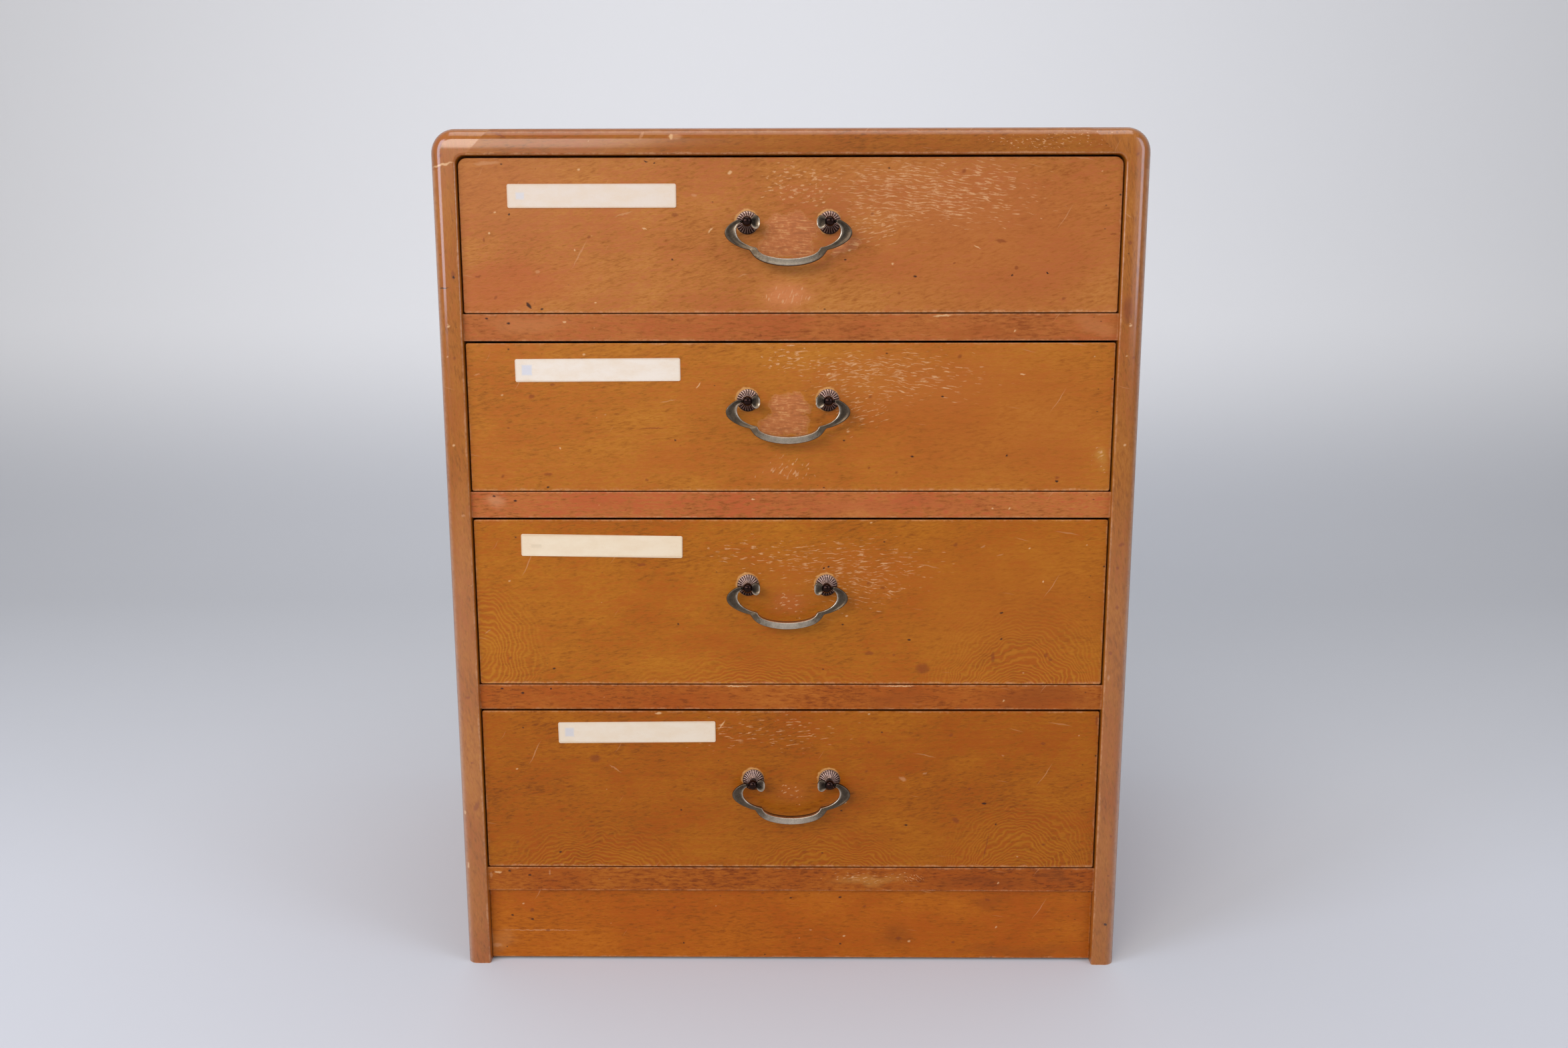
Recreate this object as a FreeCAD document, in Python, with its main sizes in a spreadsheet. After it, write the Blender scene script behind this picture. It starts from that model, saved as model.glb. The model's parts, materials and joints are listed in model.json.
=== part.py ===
import FreeCAD, Part
import math
import os
import re
import Sketcher
from FreeCAD import Rotation, Vector

# A table-top chest with four drawers, each with one drop handle and a paper label.
# X runs across the front, Y from the front to the back, and Z up from the surface
# that the side boards stand on. The drawers are numbered from the top.

driving = {
    # case
    "case_width": 375,
    "case_depth": 300,
    "top_thick": 14,
    "side_thick": 13.5,
    "rail_thick": 14.3,
    "foot_height": 44,
    "small_opening_height": 81,
    "large_opening_height": 94.4,
    "corner_radius": 13,
    "inner_radius": 4.5,
    "inner_flat": 0.7,
    "joint_slope": 2.6,
    "front_arris_radius": 6,
    "inner_arris_radius": 1.2,
    "back_arris_radius": 2,
    "face_recess": 2.5,
    "rail_depth": 50,
    "runner_width": 26,
    "housing_depth": 4,
    "joint_gap": 0.1,
    "panel_thick": 4,
    "rabbet_width": 7,
    "plinth_recess": 4.8,
    "plinth_thick": 13.5,
    "plinth_lift": 1.4,
    # drawers
    "front_thick": 14,
    "front_side_gap": 0.7,
    "front_top_gap": 1,
    "front_bottom_gap": 0.4,
    "top_corner_radius": 4.5,
    "face_corner_radius": 1.2,
    "face_arris_radius": 0.6,
    "lip_thick": 5,
    "drawer_wall": 8,
    "side_inset": 0.3,
    "side_drop": 6,
    "running_gap": 0.2,
    "ply_thick": 3.5,
    "groove_depth": 3,
    "groove_lift": 6,
    "rear_gap": 0.5,
    # handle
    "pull_pitch": 43,
    "post_reach": 8,
    "ball_diameter": 5.3,
    "neck_diameter": 3.8,
    "shank_diameter": 3,
    "shank_gap": 0.1,
    "shank_spare": 1,
    "nut_thick": 2.4,
    "nut_width": 6.4,
    "pin_diameter": 2.2,
    "pin_gap": 0.1,
    "ear_gap": 0.25,
    "rosette_diameter": 12,
    "rosette_rim": 0.9,
    "rosette_height": 3,
    "rosette_edge": 1,
    "flute_diameter": 0.8,
    "bail_half": 32.3,
    "bail_drop": 23.5,
    "leaf_width": 5.7,
    "grip_depth": 4.6,
    "paddle_length": 4.6,
    "paddle_height": 6,
    # label
    "label_width": 88.5,
    "label_height": 12.2,
    "label_thick": 0.3,
    "label_corner_radius": 1,
}

# Each drawer's opening, and where its handle and its label sit: the handle's rise
# above the middle of the opening and its shift to the right, the label's inset from
# the left of the opening, its middle below the opening's top, and its tilt.
drawers = {
    1: {"opening": "small", "rise": 6.4, "shift": -0.8, "inset": 26, "below": 20.3, "tilt": 0},
    2: {"opening": "small", "rise": 9.1, "shift": -1.1, "inset": 26.8, "below": 15.5, "tilt": -0.3},
    3: {"opening": "large", "rise": 9.8, "shift": -1.6, "inset": 26.5, "below": 15, "tilt": 0.8},
    4: {"opening": "large", "rise": 6, "shift": 0.6, "inset": 43.5, "below": 13.8, "tilt": -0.5},
}
for number, drawer in drawers.items():
    driving[f"pull_rise_{number}"] = drawer["rise"]
    driving[f"pull_shift_{number}"] = drawer["shift"]
    driving[f"label_inset_{number}"] = drawer["inset"]
    driving[f"label_below_{number}"] = drawer["below"]
    driving[f"label_tilt_{number}"] = drawer["tilt"]

# Stations of the bail's grip, from its middle to the neck: across as a share of the
# hinge's outer end, down as a share of bail_drop, width as a share of leaf_width and
# depth as a share of grip_depth.
grip_shares = (
    (0, 0.913, 0.72, 1),
    (0.246, 0.906, 0.72, 1),
    (0.430, 0.874, 0.72, 1),
    (0.574, 0.817, 0.70, 0.97),
    (0.689, 0.736, 0.68, 0.88),
    (0.754, 0.667, 0.56, 0.74),
    (0.816, 0.626, 0.38, 0.6),
)

# Stations of the leaf, from the neck up to the hinge: across as a share of the way
# from the hinge's outer end to bail_half, and the rest as in the grip.
leaf_shares = (
    (-0.18, 0.562, 0.42, 0.5),
    (0.24, 0.470, 0.62, 0.45),
    (0.54, 0.372, 0.86, 0.43),
    (0.61, 0.262, 0.93, 0.43),
    (0.49, 0.160, 0.74, 0.45),
    (0.27, 0.068, 0.54, 0.5),
    (0.13, 0, 0.42, 0.5),
)

# Stations of the paddle on the inner end of the bail's pin: inward as a share of
# paddle_length, height as a share of paddle_height, depth as a share of grip_depth.
paddle_shares = (
    (0, 0.36, 0.46),
    (0.35, 0.76, 0.44),
    (0.72, 1, 0.48),
    (1, 0.66, 0.36),
)
section_point_count = 12
section_power = 0.8
arm_span_count = 30
paddle_span_count = 4
knuckle_share = 0.57
flute_count = 24
edge_tolerance = 1e-4

doc = FreeCAD.newDocument("MiniDrawers")
sheet = doc.addObject("Spreadsheet::Sheet", "Sizes")
for row, (alias, number) in enumerate(driving.items(), 1):
    sheet.set(f"A{row}", alias)
    sheet.set(f"B{row}", str(number))
    sheet.setAlias(f"B{row}", alias)
doc.recompute()

across = Vector(1, 0, 0)
backward = Vector(0, 1, 0)

# Places that many pieces share. The front of the case lies so far forward that the
# middle of the depth, with the handles, falls on zero.
front = "(-(case_depth - post_reach - ball_diameter / 2 + face_recess) / 2)"
face = f"({front} + face_recess)"
back = f"({front} + case_depth)"
panel_front = f"({back} - panel_thick)"
outer = "(case_width / 2)"
inner = "(case_width / 2 - side_thick)"
housed = f"({inner} + housing_depth)"
opening = {number: f"{drawer['opening']}_opening_height" for number, drawer in drawers.items()}
floor = {}
shelf = "(foot_height + rail_thick)"
for number in sorted(drawers, reverse=True):
    floor[number] = shelf
    ceiling = f"({shelf} + {opening[number]})"
    shelf = f"({ceiling} + rail_thick)"
case_top = f"({ceiling} + top_thick)"
corner_reach = "(inner_radius + inner_flat)"
block_foot = f"({ceiling} - {corner_reach})"


# Names of sizes in an expression become references to their cells.
def bound(text):
    return re.sub(r"\b([a-z]+_[a-z_0-9]+)\b", r"Sizes.\1", text)


def bind(piece, places):
    for name, text in places.items():
        piece.setExpression(name, bound(text))
    return piece


def place(piece, x, y, z):
    return bind(piece, {"Placement.Base.x": x, "Placement.Base.y": y, "Placement.Base.z": z})


def add(kind, label):
    piece = doc.addObject(kind, label)
    piece.Label = label
    return piece


def feature(body, kind, name, places):
    return bind(body.newObject(f"PartDesign::{kind}", f"{body.Name}_{name}"), places)


def block(body, kind, name, corner, extent):
    made = feature(body, kind, name, dict(zip(("Length", "Width", "Height"), extent)))
    return place(made, *corner)


def solid(kind, label, places):
    return bind(add(f"Part::{kind}", label), places)


def board(label, corner, extent):
    return place(solid("Box", label, dict(zip(("Length", "Width", "Height"), extent))), *corner)


def cut_from(label, base, tool):
    made = add("Part::Cut", label)
    made.Base = base
    made.Tool = tool
    return made


# The start and the length of a stretch that lies between two distances from the
# middle of the width, on the left (-1) or on the right (1).
def stretch(side, near_end, far_end):
    start = near_end if side > 0 else f"-({far_end})"
    return start, f"({far_end}) - ({near_end})"


def mirrored(side, text):
    return text if side > 0 else f"-({text})"


# A sketch in the body's own XZ plane, whose corners are bound one by one.
def outline(body, name, corners):
    plane = next(one for one in body.Origin.OriginFeatures if one.Role == "XZ_Plane")
    sketch = body.newObject("Sketcher::SketchObject", f"{body.Name}_{name}")
    sketch.AttachmentSupport = (plane, "")
    sketch.MapMode = "FlatFace"
    count = len(corners)
    turns = [2 * math.pi * index / count for index in range(count)]
    ring = [Vector(math.cos(turn), math.sin(turn), 0) for turn in turns]
    for index in range(count):
        sketch.addGeometry(Part.LineSegment(ring[index - 1], ring[index]), False)
    for index, (x, z) in enumerate(corners):
        sketch.addConstraint(Sketcher.Constraint("Coincident", index, 2, (index + 1) % count, 1))
        for kind, text in (("DistanceX", x), ("DistanceY", z)):
            held = sketch.addConstraint(Sketcher.Constraint(kind, -1, 1, index, 2, 1.0))
            sketch.setExpression(f"Constraints[{held}]", bound(text))
    return sketch


# A body whose outline in the XZ plane runs back from the front of the case.
def prism(label, corners):
    body = add("PartDesign::Body", label)
    sketch = outline(body, "outline", corners)
    bind(sketch, {"AttachmentOffset.Base.z": f"-{front}"})
    pad = feature(body, "Pad", "depth", {"Length": "case_depth"})
    pad.Profile = sketch
    pad.Reversed = True
    return body


def near(value, target):
    return math.isclose(value, target, abs_tol=edge_tolerance)


def middle(edge):
    return edge.valueAt((edge.FirstParameter + edge.LastParameter) / 2)


# A fillet on those edges of the body so far that the test picks.
def rounded(body, name, radius, wanted):
    doc.recompute()
    base = body.Tip
    picked = [f"Edge{index}" for index, edge in enumerate(body.Shape.Edges, 1) if wanted(edge)]
    made = feature(body, "Fillet", name, {"Radius": radius})
    made.Base = (base, picked)
    return made


# Whether an edge runs at this X or Z, or is an arc of this radius.
def runs(edge, x=None, z=None, radius=None):
    point = middle(edge)
    at_x = x is not None and near(point.x, x)
    at_z = z is not None and near(point.z, z)
    arc = radius is not None and hasattr(edge.Curve, "Radius") and near(edge.Curve.Radius, radius)
    return at_x or at_z or arc


# The case is rounded along its outside, front and back, and eased round the openings.
def ease(body, outside, inside):
    box = body.Shape.BoundBox

    def lies_at(edge, y):
        return near(edge.BoundBox.YMin, y) and near(edge.BoundBox.YMax, y)

    for name, radius, y, placed in (
        ("front", "front_arris_radius", box.YMin, outside),
        ("back", "back_arris_radius", box.YMax, outside),
        ("opening", "inner_arris_radius", box.YMin, inside),
    ):
        rounded(body, name, radius, lambda edge: lies_at(edge, y) and runs(edge, **placed))


def cut(body, name, corner, extent):
    block(body, "SubtractiveBox", name, corner, extent)


def case_side(label, side):
    corners = [
        (mirrored(side, outer), "0"),
        (mirrored(side, outer), f"{block_foot} - joint_slope"),
        (mirrored(side, inner), block_foot),
        (mirrored(side, inner), "0"),
    ]
    body = prism(label, corners)
    doc.recompute()
    box = body.Shape.BoundBox
    outside, inside = (box.XMax, box.XMin) if side > 0 else (box.XMin, box.XMax)
    ease(body, {"x": outside}, {"x": inside})
    start, length = stretch(side, inner, f"{housed} + joint_gap")
    for number in drawers:
        corner = (start, face, f"{floor[number]} - rail_thick")
        cut(body, f"housing_{number}", corner, (length, f"{panel_front} - {face}", "rail_thick + joint_gap"))
    start, length = stretch(side, inner, f"{inner} + rabbet_width")
    extent = (length, "panel_thick", f"{case_top} - foot_height")
    cut(body, "rabbet", (start, panel_front, "foot_height"), extent)
    return body


def corner_block(label, side):
    tip = f"({inner} - {corner_reach})"
    corners = [
        (mirrored(side, outer), f"{block_foot} - joint_slope"),
        (mirrored(side, outer), case_top),
        (mirrored(side, f"{tip} - top_thick"), case_top),
        (mirrored(side, tip), ceiling),
        (mirrored(side, inner), ceiling),
        (mirrored(side, inner), block_foot),
    ]
    body = prism(label, corners)
    doc.recompute()
    box = body.Shape.BoundBox
    outside = side * sheet.get("case_width") / 2
    inside = outside - side * sheet.get("side_thick")
    under = box.ZMax - sheet.get("top_thick")

    def corner_at(edge, x, z):
        point = middle(edge)
        return near(point.y, (box.YMin + box.YMax) / 2) and near(point.x, x) and near(point.z, z)

    rounded(body, "corner", "corner_radius", lambda edge: corner_at(edge, outside, box.ZMax))
    rounded(body, "hollow", "inner_radius", lambda edge: corner_at(edge, inside, under))
    doc.recompute()
    outer_arc = {"x": outside, "z": box.ZMax, "radius": sheet.get("corner_radius")}
    ease(body, outer_arc, {"x": inside, "z": under, "radius": sheet.get("inner_radius")})
    start, length = stretch(side, f"{tip} - top_thick", f"{inner} + rabbet_width")
    low = f"({block_foot} - joint_slope)"
    extent = (length, "panel_thick", f"{ceiling} + rabbet_width - {low}")
    cut(body, "rabbet", (start, panel_front, low), extent)
    return body


def top_board(label):
    tip = f"({inner} - {corner_reach})"
    corners = [
        (f"-({tip} - top_thick)", case_top),
        (f"{tip} - top_thick", case_top),
        (tip, ceiling),
        (f"-{tip}", ceiling),
    ]
    body = prism(label, corners)
    doc.recompute()
    box = body.Shape.BoundBox
    ease(body, {"z": box.ZMax}, {"z": box.ZMin})
    cut(body, "rabbet", (f"-{inner}", panel_front, ceiling), (f"2 * {inner}", "panel_thick", "rabbet_width"))
    return body


def case_boards():
    wide = f"2 * {housed}"
    made = []
    for number in (1, 2, 3):
        low = f"{floor[number]} - rail_thick"
        made.append(board(f"rail_{number}", (f"-{housed}", face, low), (wide, "rail_depth", "rail_thick")))
        for name, side in (("left", -1), ("right", 1)):
            start, length = stretch(side, f"{inner} - runner_width", housed)
            corner = (start, f"{face} + rail_depth", low)
            extent = (length, f"{panel_front} - {face} - rail_depth", "rail_thick")
            made.append(board(f"runner_{number}_{name}", corner, extent))
    low_front = (f"-{housed}", face, "foot_height")
    made.append(board("bottom_board", low_front, (wide, f"{panel_front} - {face}", "rail_thick")))
    plinth = (f"2 * {inner}", "plinth_thick", "foot_height - plinth_lift")
    made.append(board("plinth_board", (f"-{inner}", f"{front} + plinth_recess", "plinth_lift"), plinth))
    made.append(board("rear_plinth", (f"-{inner}", f"{back} - plinth_thick", "plinth_lift"), plinth))
    reach = f"({inner} + rabbet_width - joint_gap)"
    panel = (f"2 * {reach}", "panel_thick", f"{ceiling} + rabbet_width - joint_gap - foot_height")
    made.append(board("back_panel", (f"-{reach}", panel_front, "foot_height"), panel))
    return made


# Half the width of a drawer's front, and of the space between its sides.
front_half = f"({inner} - front_side_gap)"
inside_half = f"({front_half} - side_inset - drawer_wall)"
front_back = f"({face} + front_thick)"
drawer_rear = f"({panel_front} - rear_gap)"


def drawer_front(number):
    low = f"({floor[number]} + front_bottom_gap)"
    tall = f"({opening[number]} - front_top_gap - front_bottom_gap)"
    body = add("PartDesign::Body", f"drawer_{number}_front")
    extent = (f"2 * {front_half}", "front_thick", tall)
    block(body, "AdditiveBox", "board", (f"-{front_half}", face, low), extent)
    doc.recompute()
    box = body.Shape.BoundBox

    def is_corner(edge, z):
        return near(edge.BoundBox.YLength, box.YLength) and near(middle(edge).z, z)

    top_radius = "top_corner_radius" if number == 1 else "face_corner_radius"
    rounded(body, "top", top_radius, lambda edge: is_corner(edge, box.ZMax))
    rounded(body, "bottom", "face_corner_radius", lambda edge: is_corner(edge, box.ZMin))
    rounded(body, "arris", "face_arris_radius", lambda edge: near(edge.BoundBox.YMax, box.YMin))
    for name, side in (("left", -1), ("right", 1)):
        start, length = stretch(side, inside_half, front_half)
        extent = (length, "front_thick - lip_thick", opening[number])
        cut(body, f"rabbet_{name}", (start, f"{face} + lip_thick", floor[number]), extent)
    depth = "(groove_depth + joint_gap)"
    corner = (f"-{inside_half}", f"{front_back} - {depth}", bottom_of(number))
    cut(body, "groove", corner, (f"2 * {inside_half}", depth, "ply_thick + joint_gap"))
    for side in (-1, 1):
        hole = {"Radius": "shank_diameter / 2 + shank_gap", "Height": "front_thick"}
        bore = feature(body, "SubtractiveCylinder", "bore_left" if side < 0 else "bore_right", hole)
        bore.Placement.Rotation = Rotation(across, -90)
        place(bore, post_across(number, side), face, post_height(number))
    return body


def bottom_of(number):
    return f"({floor[number]} + running_gap + groove_lift)"


def rim_of(number):
    return f"({floor[number]} + {opening[number]} - front_top_gap - side_drop)"


def post_across(number, side):
    return f"pull_shift_{number} + {side} * pull_pitch / 2"


def post_height(number):
    return f"({floor[number]} + {opening[number]} / 2 + pull_rise_{number})"


def drawer_side(number, name, side):
    low = f"({floor[number]} + running_gap)"
    start_y = f"({face} + lip_thick)"
    length_y = f"{drawer_rear} - {start_y}"
    body = add("PartDesign::Body", f"drawer_{number}_{name}")
    start, length = stretch(side, inside_half, f"{front_half} - side_inset")
    extent = (length, length_y, f"{rim_of(number)} - {low}")
    block(body, "AdditiveBox", "board", (start, start_y, low), extent)
    start, length = stretch(side, inside_half, f"{inside_half} + groove_depth + joint_gap")
    cut(body, "groove", (start, start_y, bottom_of(number)), (length, length_y, "ply_thick + joint_gap"))
    return body


def drawer_boards(number):
    top_of_ply = f"({bottom_of(number)} + ply_thick)"
    corner = (f"-{inside_half}", f"{drawer_rear} - drawer_wall", top_of_ply)
    extent = (f"2 * {inside_half}", "drawer_wall", f"{rim_of(number)} - {top_of_ply}")
    rear = board(f"drawer_{number}_back", corner, extent)
    start_y = f"({front_back} - groove_depth)"
    reach = f"({inside_half} + groove_depth)"
    corner = (f"-{reach}", start_y, bottom_of(number))
    extent = (f"2 * {reach}", f"{drawer_rear} - {start_y}", "ply_thick")
    return [rear, board(f"drawer_{number}_bottom", corner, extent)]


def paper_label(number):
    body = add("PartDesign::Body", f"label_{number}")
    extent = ("label_width", "label_thick", "label_height")
    block(body, "AdditiveBox", "paper", ("0", "-label_thick", "-label_height / 2"), extent)
    doc.recompute()
    thick = sheet.get("label_thick")
    rounded(body, "corners", "label_corner_radius", lambda edge: near(edge.BoundBox.YLength, thick))
    body.Placement.Rotation = Rotation(backward, 90)
    bind(body, {"Placement.Rotation.Angle": f"label_tilt_{number}"})
    high = f"{floor[number]} + {opening[number]} - label_below_{number}"
    return place(body, f"-{inner} + label_inset_{number}", face, high)


# The handle's pieces are made once, with the drawer's face at Z = 0 and the hinge
# axis above it, and each drawer's are placed copies.
def post_master():
    ball = place(solid("Sphere", "ball", {"Radius": "ball_diameter / 2"}), "0", "0", "post_reach")
    above = {"Radius": "neck_diameter / 2", "Height": "post_reach - rosette_height"}
    neck = place(solid("Cylinder", "neck", above), "0", "0", "rosette_height")
    buried = "(front_thick + nut_thick + shank_spare)"
    through = {"Radius": "shank_diameter / 2", "Height": f"{buried} + rosette_height"}
    shank = place(solid("Cylinder", "shank", through), "0", "0", f"-{buried}")
    eye = solid("Cylinder", "eye", {"Radius": "pin_diameter / 2 + pin_gap", "Height": "2 * ball_diameter"})
    eye.Placement.Rotation = Rotation(backward, 90)
    place(eye, "-ball_diameter", "0", "post_reach")
    whole = add("Part::MultiFuse", "post_whole")
    whole.Shapes = [ball, neck, shank]
    return cut_from("post", whole, eye)


def rosette_master():
    body = add("PartDesign::Body", "rosette")
    bore = "shank_diameter / 2 + shank_gap"
    rim = "rosette_diameter / 2"
    foot = f"({rim} - rosette_edge)"
    crown = "(neck_diameter / 2)"
    corners = [
        (bore, "0"),
        (rim, "0"),
        (rim, "rosette_rim"),
        (foot, "rosette_rim"),
        (crown, "rosette_height"),
        (bore, "rosette_height"),
    ]
    turned = feature(body, "Revolution", "turned", {})
    turned.Profile = outline(body, "profile", corners)
    turned.ReferenceAxis = (turned.Profile[0], ["V_Axis"])
    turned.Angle = 360
    doc.recompute()
    rise = "(rosette_height - rosette_rim)"
    slope = {"Radius": "flute_diameter / 2", "Height": f"sqrt({rise}^2 + ({foot} - {crown})^2)"}
    flute = feature(body, "SubtractiveCylinder", "flute", slope)
    flute.Placement.Rotation = Rotation(Vector(0, -1, 0), 90)
    place(flute, foot, "0", "rosette_rim")
    bind(flute, {"Placement.Rotation.Angle": f"90 deg - atan({rise} / ({foot} - {crown}))"})
    doc.recompute()
    ring = feature(body, "PolarPattern", "flutes", {})
    ring.Originals = [flute]
    upright = next(one for one in body.Origin.OriginFeatures if one.Role == "Z_Axis")
    ring.Axis = (upright, [""])
    ring.Angle = 360
    ring.Occurrences = flute_count
    body.Tip = ring
    return body


def nut_master():
    low = "-(front_thick + nut_thick)"
    hexagon = solid("Prism", "hexagon", {"Circumradius": "nut_width / sqrt(3)", "Height": "nut_thick"})
    thread = solid("Cylinder", "thread", {"Radius": "shank_diameter / 2 + shank_gap", "Height": "nut_thick"})
    return cut_from("nut", place(hexagon, "0", "0", low), place(thread, "0", "0", low))


# A closed ring round a point of the path, square to the way that it runs there.
def section(centre, heading, width, depth):
    aside = Vector(heading.z, 0, -heading.x)
    points = []
    for step in range(section_point_count):
        turn = 2 * math.pi * step / section_point_count
        sideways = math.copysign(abs(math.cos(turn)) ** section_power, math.cos(turn))
        deep = math.copysign(abs(math.sin(turn)) ** section_power, math.sin(turn))
        points.append(centre + aside * (sideways * width / 2) + backward * (deep * depth / 2))
    return Part.makePolygon(points + points[:1])


# A solid through stations, each a centre, a width and a depth: a smooth path through
# the centres carries evenly spaced rings whose sizes change as smoothly.
def swept(stations, spans):
    along = [0.0]
    for (centre, width, depth), (before, *rest) in zip(stations[1:], stations):
        along.append(along[-1] + centre.distanceToPoint(before))
    path = Part.BSplineCurve()
    path.interpolate(Points=[centre for centre, width, depth in stations], Parameters=along)
    extents = Part.BSplineCurve()
    spread = [Vector(width, depth, run) for (centre, width, depth), run in zip(stations, along)]
    extents.interpolate(Points=spread, Parameters=along)
    rings = []
    for step in range(spans + 1):
        run = along[-1] * step / spans
        extent = extents.value(run)
        rings.append(section(path.value(run), path.tangent(run)[0], extent.x, extent.y))
    return Part.makeLoft(rings, True, False)


# The bail hangs with its hinge axis on the X axis through the origin.
def bail_master():
    wide, deep = sheet.get("leaf_width"), sheet.get("grip_depth")
    ear = sheet.get("ball_diameter") / 2 + sheet.get("ear_gap")
    ear_outer = sheet.get("pull_pitch") / 2 + ear
    ear_inner = sheet.get("pull_pitch") / 2 - ear
    leaf, drop = sheet.get("bail_half") - ear_outer, sheet.get("bail_drop")
    half = [(share * ear_outer, down, width, depth) for share, down, width, depth in grip_shares]
    half += [(ear_outer + share * leaf, down, width, depth) for share, down, width, depth in leaf_shares]
    stations = []
    for side in (-1, 1):
        ordered = half[:0:-1] if side < 0 else half
        for x, down, width, depth in ordered:
            stations.append((Vector(side * x, 0, -down * drop), width * wide, depth * deep))
    end = stations[-1][0]
    paddle_size = sheet.get("paddle_length")
    inner_end = ear_inner - paddle_size / 2
    pin = Part.makeCylinder(sheet.get("pin_diameter") / 2, end.x - inner_end, Vector(inner_end, 0, 0), across)
    knuckle = Part.makeSphere(knuckle_share * sheet.get("pin_diameter"), end)
    paddle_stations = []
    for share, height, depth in paddle_shares:
        centre = Vector(ear_inner - share * paddle_size, 0, 0)
        paddle_stations.append((centre, height * sheet.get("paddle_height"), depth * deep))
    ends = [pin, knuckle, swept(paddle_stations, paddle_span_count)]
    ends += [piece.mirror(Vector(0, 0, 0), across) for piece in ends]
    bail = add("Part::Feature", "bail")
    bail.Shape = swept(stations, arm_span_count).fuse(ends)
    return bail


def copy_of(name, masters, x, y, z, turn):
    made = add("Part::Compound", name)
    made.Links = masters
    made.Placement.Rotation = turn
    return place(made, x, y, z)


# Two copies of a handle piece, one at each end of the hinge axis.
def pair_of(master):
    left = copy_of(f"{master.Label}_left", [master], "-pull_pitch / 2", "0", "0", Rotation())
    right = copy_of(f"{master.Label}_right", [master], "pull_pitch / 2", "0", "0", Rotation())
    return copy_of(f"{master.Label}_pair", [left, right], "0", "0", "0", Rotation())


nodes = [
    case_side("left_side", -1),
    case_side("right_side", 1),
    corner_block("left_corner_block", -1),
    corner_block("right_corner_block", 1),
    top_board("top_board"),
]
nodes += case_boards()
pairs = {
    "rosettes": pair_of(rosette_master()),
    "posts": pair_of(post_master()),
    "nuts": pair_of(nut_master()),
}
bail = bail_master()
out_of_face = Rotation(across, 90)
for number in drawers:
    nodes.append(drawer_front(number))
    nodes.append(drawer_side(number, "left", -1))
    nodes.append(drawer_side(number, "right", 1))
    nodes += drawer_boards(number)
    nodes.append(paper_label(number))
    middle_x, high = f"pull_shift_{number}", post_height(number)
    for name, pair in pairs.items():
        nodes.append(copy_of(f"{name}_{number}", [pair], middle_x, face, high, out_of_face))
    nodes.append(copy_of(f"bail_{number}", [bail], middle_x, f"{face} - post_reach", high, Rotation()))
doc.recompute()

# Every object is sound, and every sub-part is whole, before any is written.
for piece in doc.Objects:
    broken = [state for state in piece.State if state in ("Invalid", "Error")]
    if broken:
        raise RuntimeError(f"{piece.Label}: {broken}")
for piece in nodes:
    if piece.Shape.isNull() or not piece.Shape.isValid() or not piece.Shape.Solids:
        raise RuntimeError(f"{piece.Label}: the shape is empty or not valid")
os.makedirs("parts", exist_ok=True)
for piece in nodes:
    piece.Shape.exportStep(f"parts/{piece.Label}.step")
whole = Part.makeCompound([piece.Shape for piece in nodes]).optimalBoundingBox(False, False)
extent = [round(length, 2) for length in (whole.XLength, whole.YLength, whole.ZLength)]
print(len(nodes), "sub-parts in", extent, "mm, lowest at", round(whole.ZMin, 3))
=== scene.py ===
import json
import math
import bmesh
import bpy
from mathutils import Matrix, Vector


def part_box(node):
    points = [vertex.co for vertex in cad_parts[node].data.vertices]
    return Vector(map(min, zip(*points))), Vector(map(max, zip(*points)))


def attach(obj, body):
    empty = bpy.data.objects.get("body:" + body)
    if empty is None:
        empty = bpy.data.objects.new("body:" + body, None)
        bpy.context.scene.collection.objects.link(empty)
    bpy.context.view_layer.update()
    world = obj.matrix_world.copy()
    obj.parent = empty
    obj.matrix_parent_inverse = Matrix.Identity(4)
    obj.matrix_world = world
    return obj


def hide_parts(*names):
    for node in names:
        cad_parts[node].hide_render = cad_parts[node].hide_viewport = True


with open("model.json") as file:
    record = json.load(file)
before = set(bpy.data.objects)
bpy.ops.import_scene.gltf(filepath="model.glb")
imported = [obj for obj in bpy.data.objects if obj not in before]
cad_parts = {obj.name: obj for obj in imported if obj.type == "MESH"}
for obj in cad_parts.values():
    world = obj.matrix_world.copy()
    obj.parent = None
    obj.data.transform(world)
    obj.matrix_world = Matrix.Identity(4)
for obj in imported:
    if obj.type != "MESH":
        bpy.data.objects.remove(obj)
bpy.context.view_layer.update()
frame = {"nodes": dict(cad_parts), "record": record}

# A table-top chest of stained and varnished wood with four drawers, each with a cast
# brass drop handle and a paper label. Sizes here are in millimetres; the scene is in metres.
mm = 0.001
toMillimetres = (1 / mm,) * 3  # for the places that shaders get in metres
drawerNumbers = (1, 2, 3, 4)
print("frame loaded,", len(frame["nodes"]), "nodes")


def linearColour(code):  # an sRGB hex value as the linear colour that shaders take
    parts = [int(code[i:i + 2], 16) / 255 for i in (1, 3, 5)]
    return (*(p / 12.92 if p <= 0.04045 else ((p + 0.055) / 1.055) ** 2.4 for p in parts), 1.0)


def addNode(tree, kind, inputs=(), ramp=(), **settings):
    node = tree.nodes.new("ShaderNode" + kind)
    for name, value in settings.items():
        setattr(node, name, value)
    for socket, value in dict(inputs).items():
        if isinstance(value, bpy.types.NodeSocket):
            tree.links.new(value, node.inputs[socket])
        else:
            node.inputs[socket].default_value = value
    if ramp:
        stops = node.color_ramp.elements
        while len(stops) < len(ramp):
            stops.new(1.0)
        for stop, (place, colour) in zip(stops, ramp):
            stop.position = place
            stop.color = linearColour(colour) if isinstance(colour, str) else (colour, colour, colour, 1)
    return node


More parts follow.
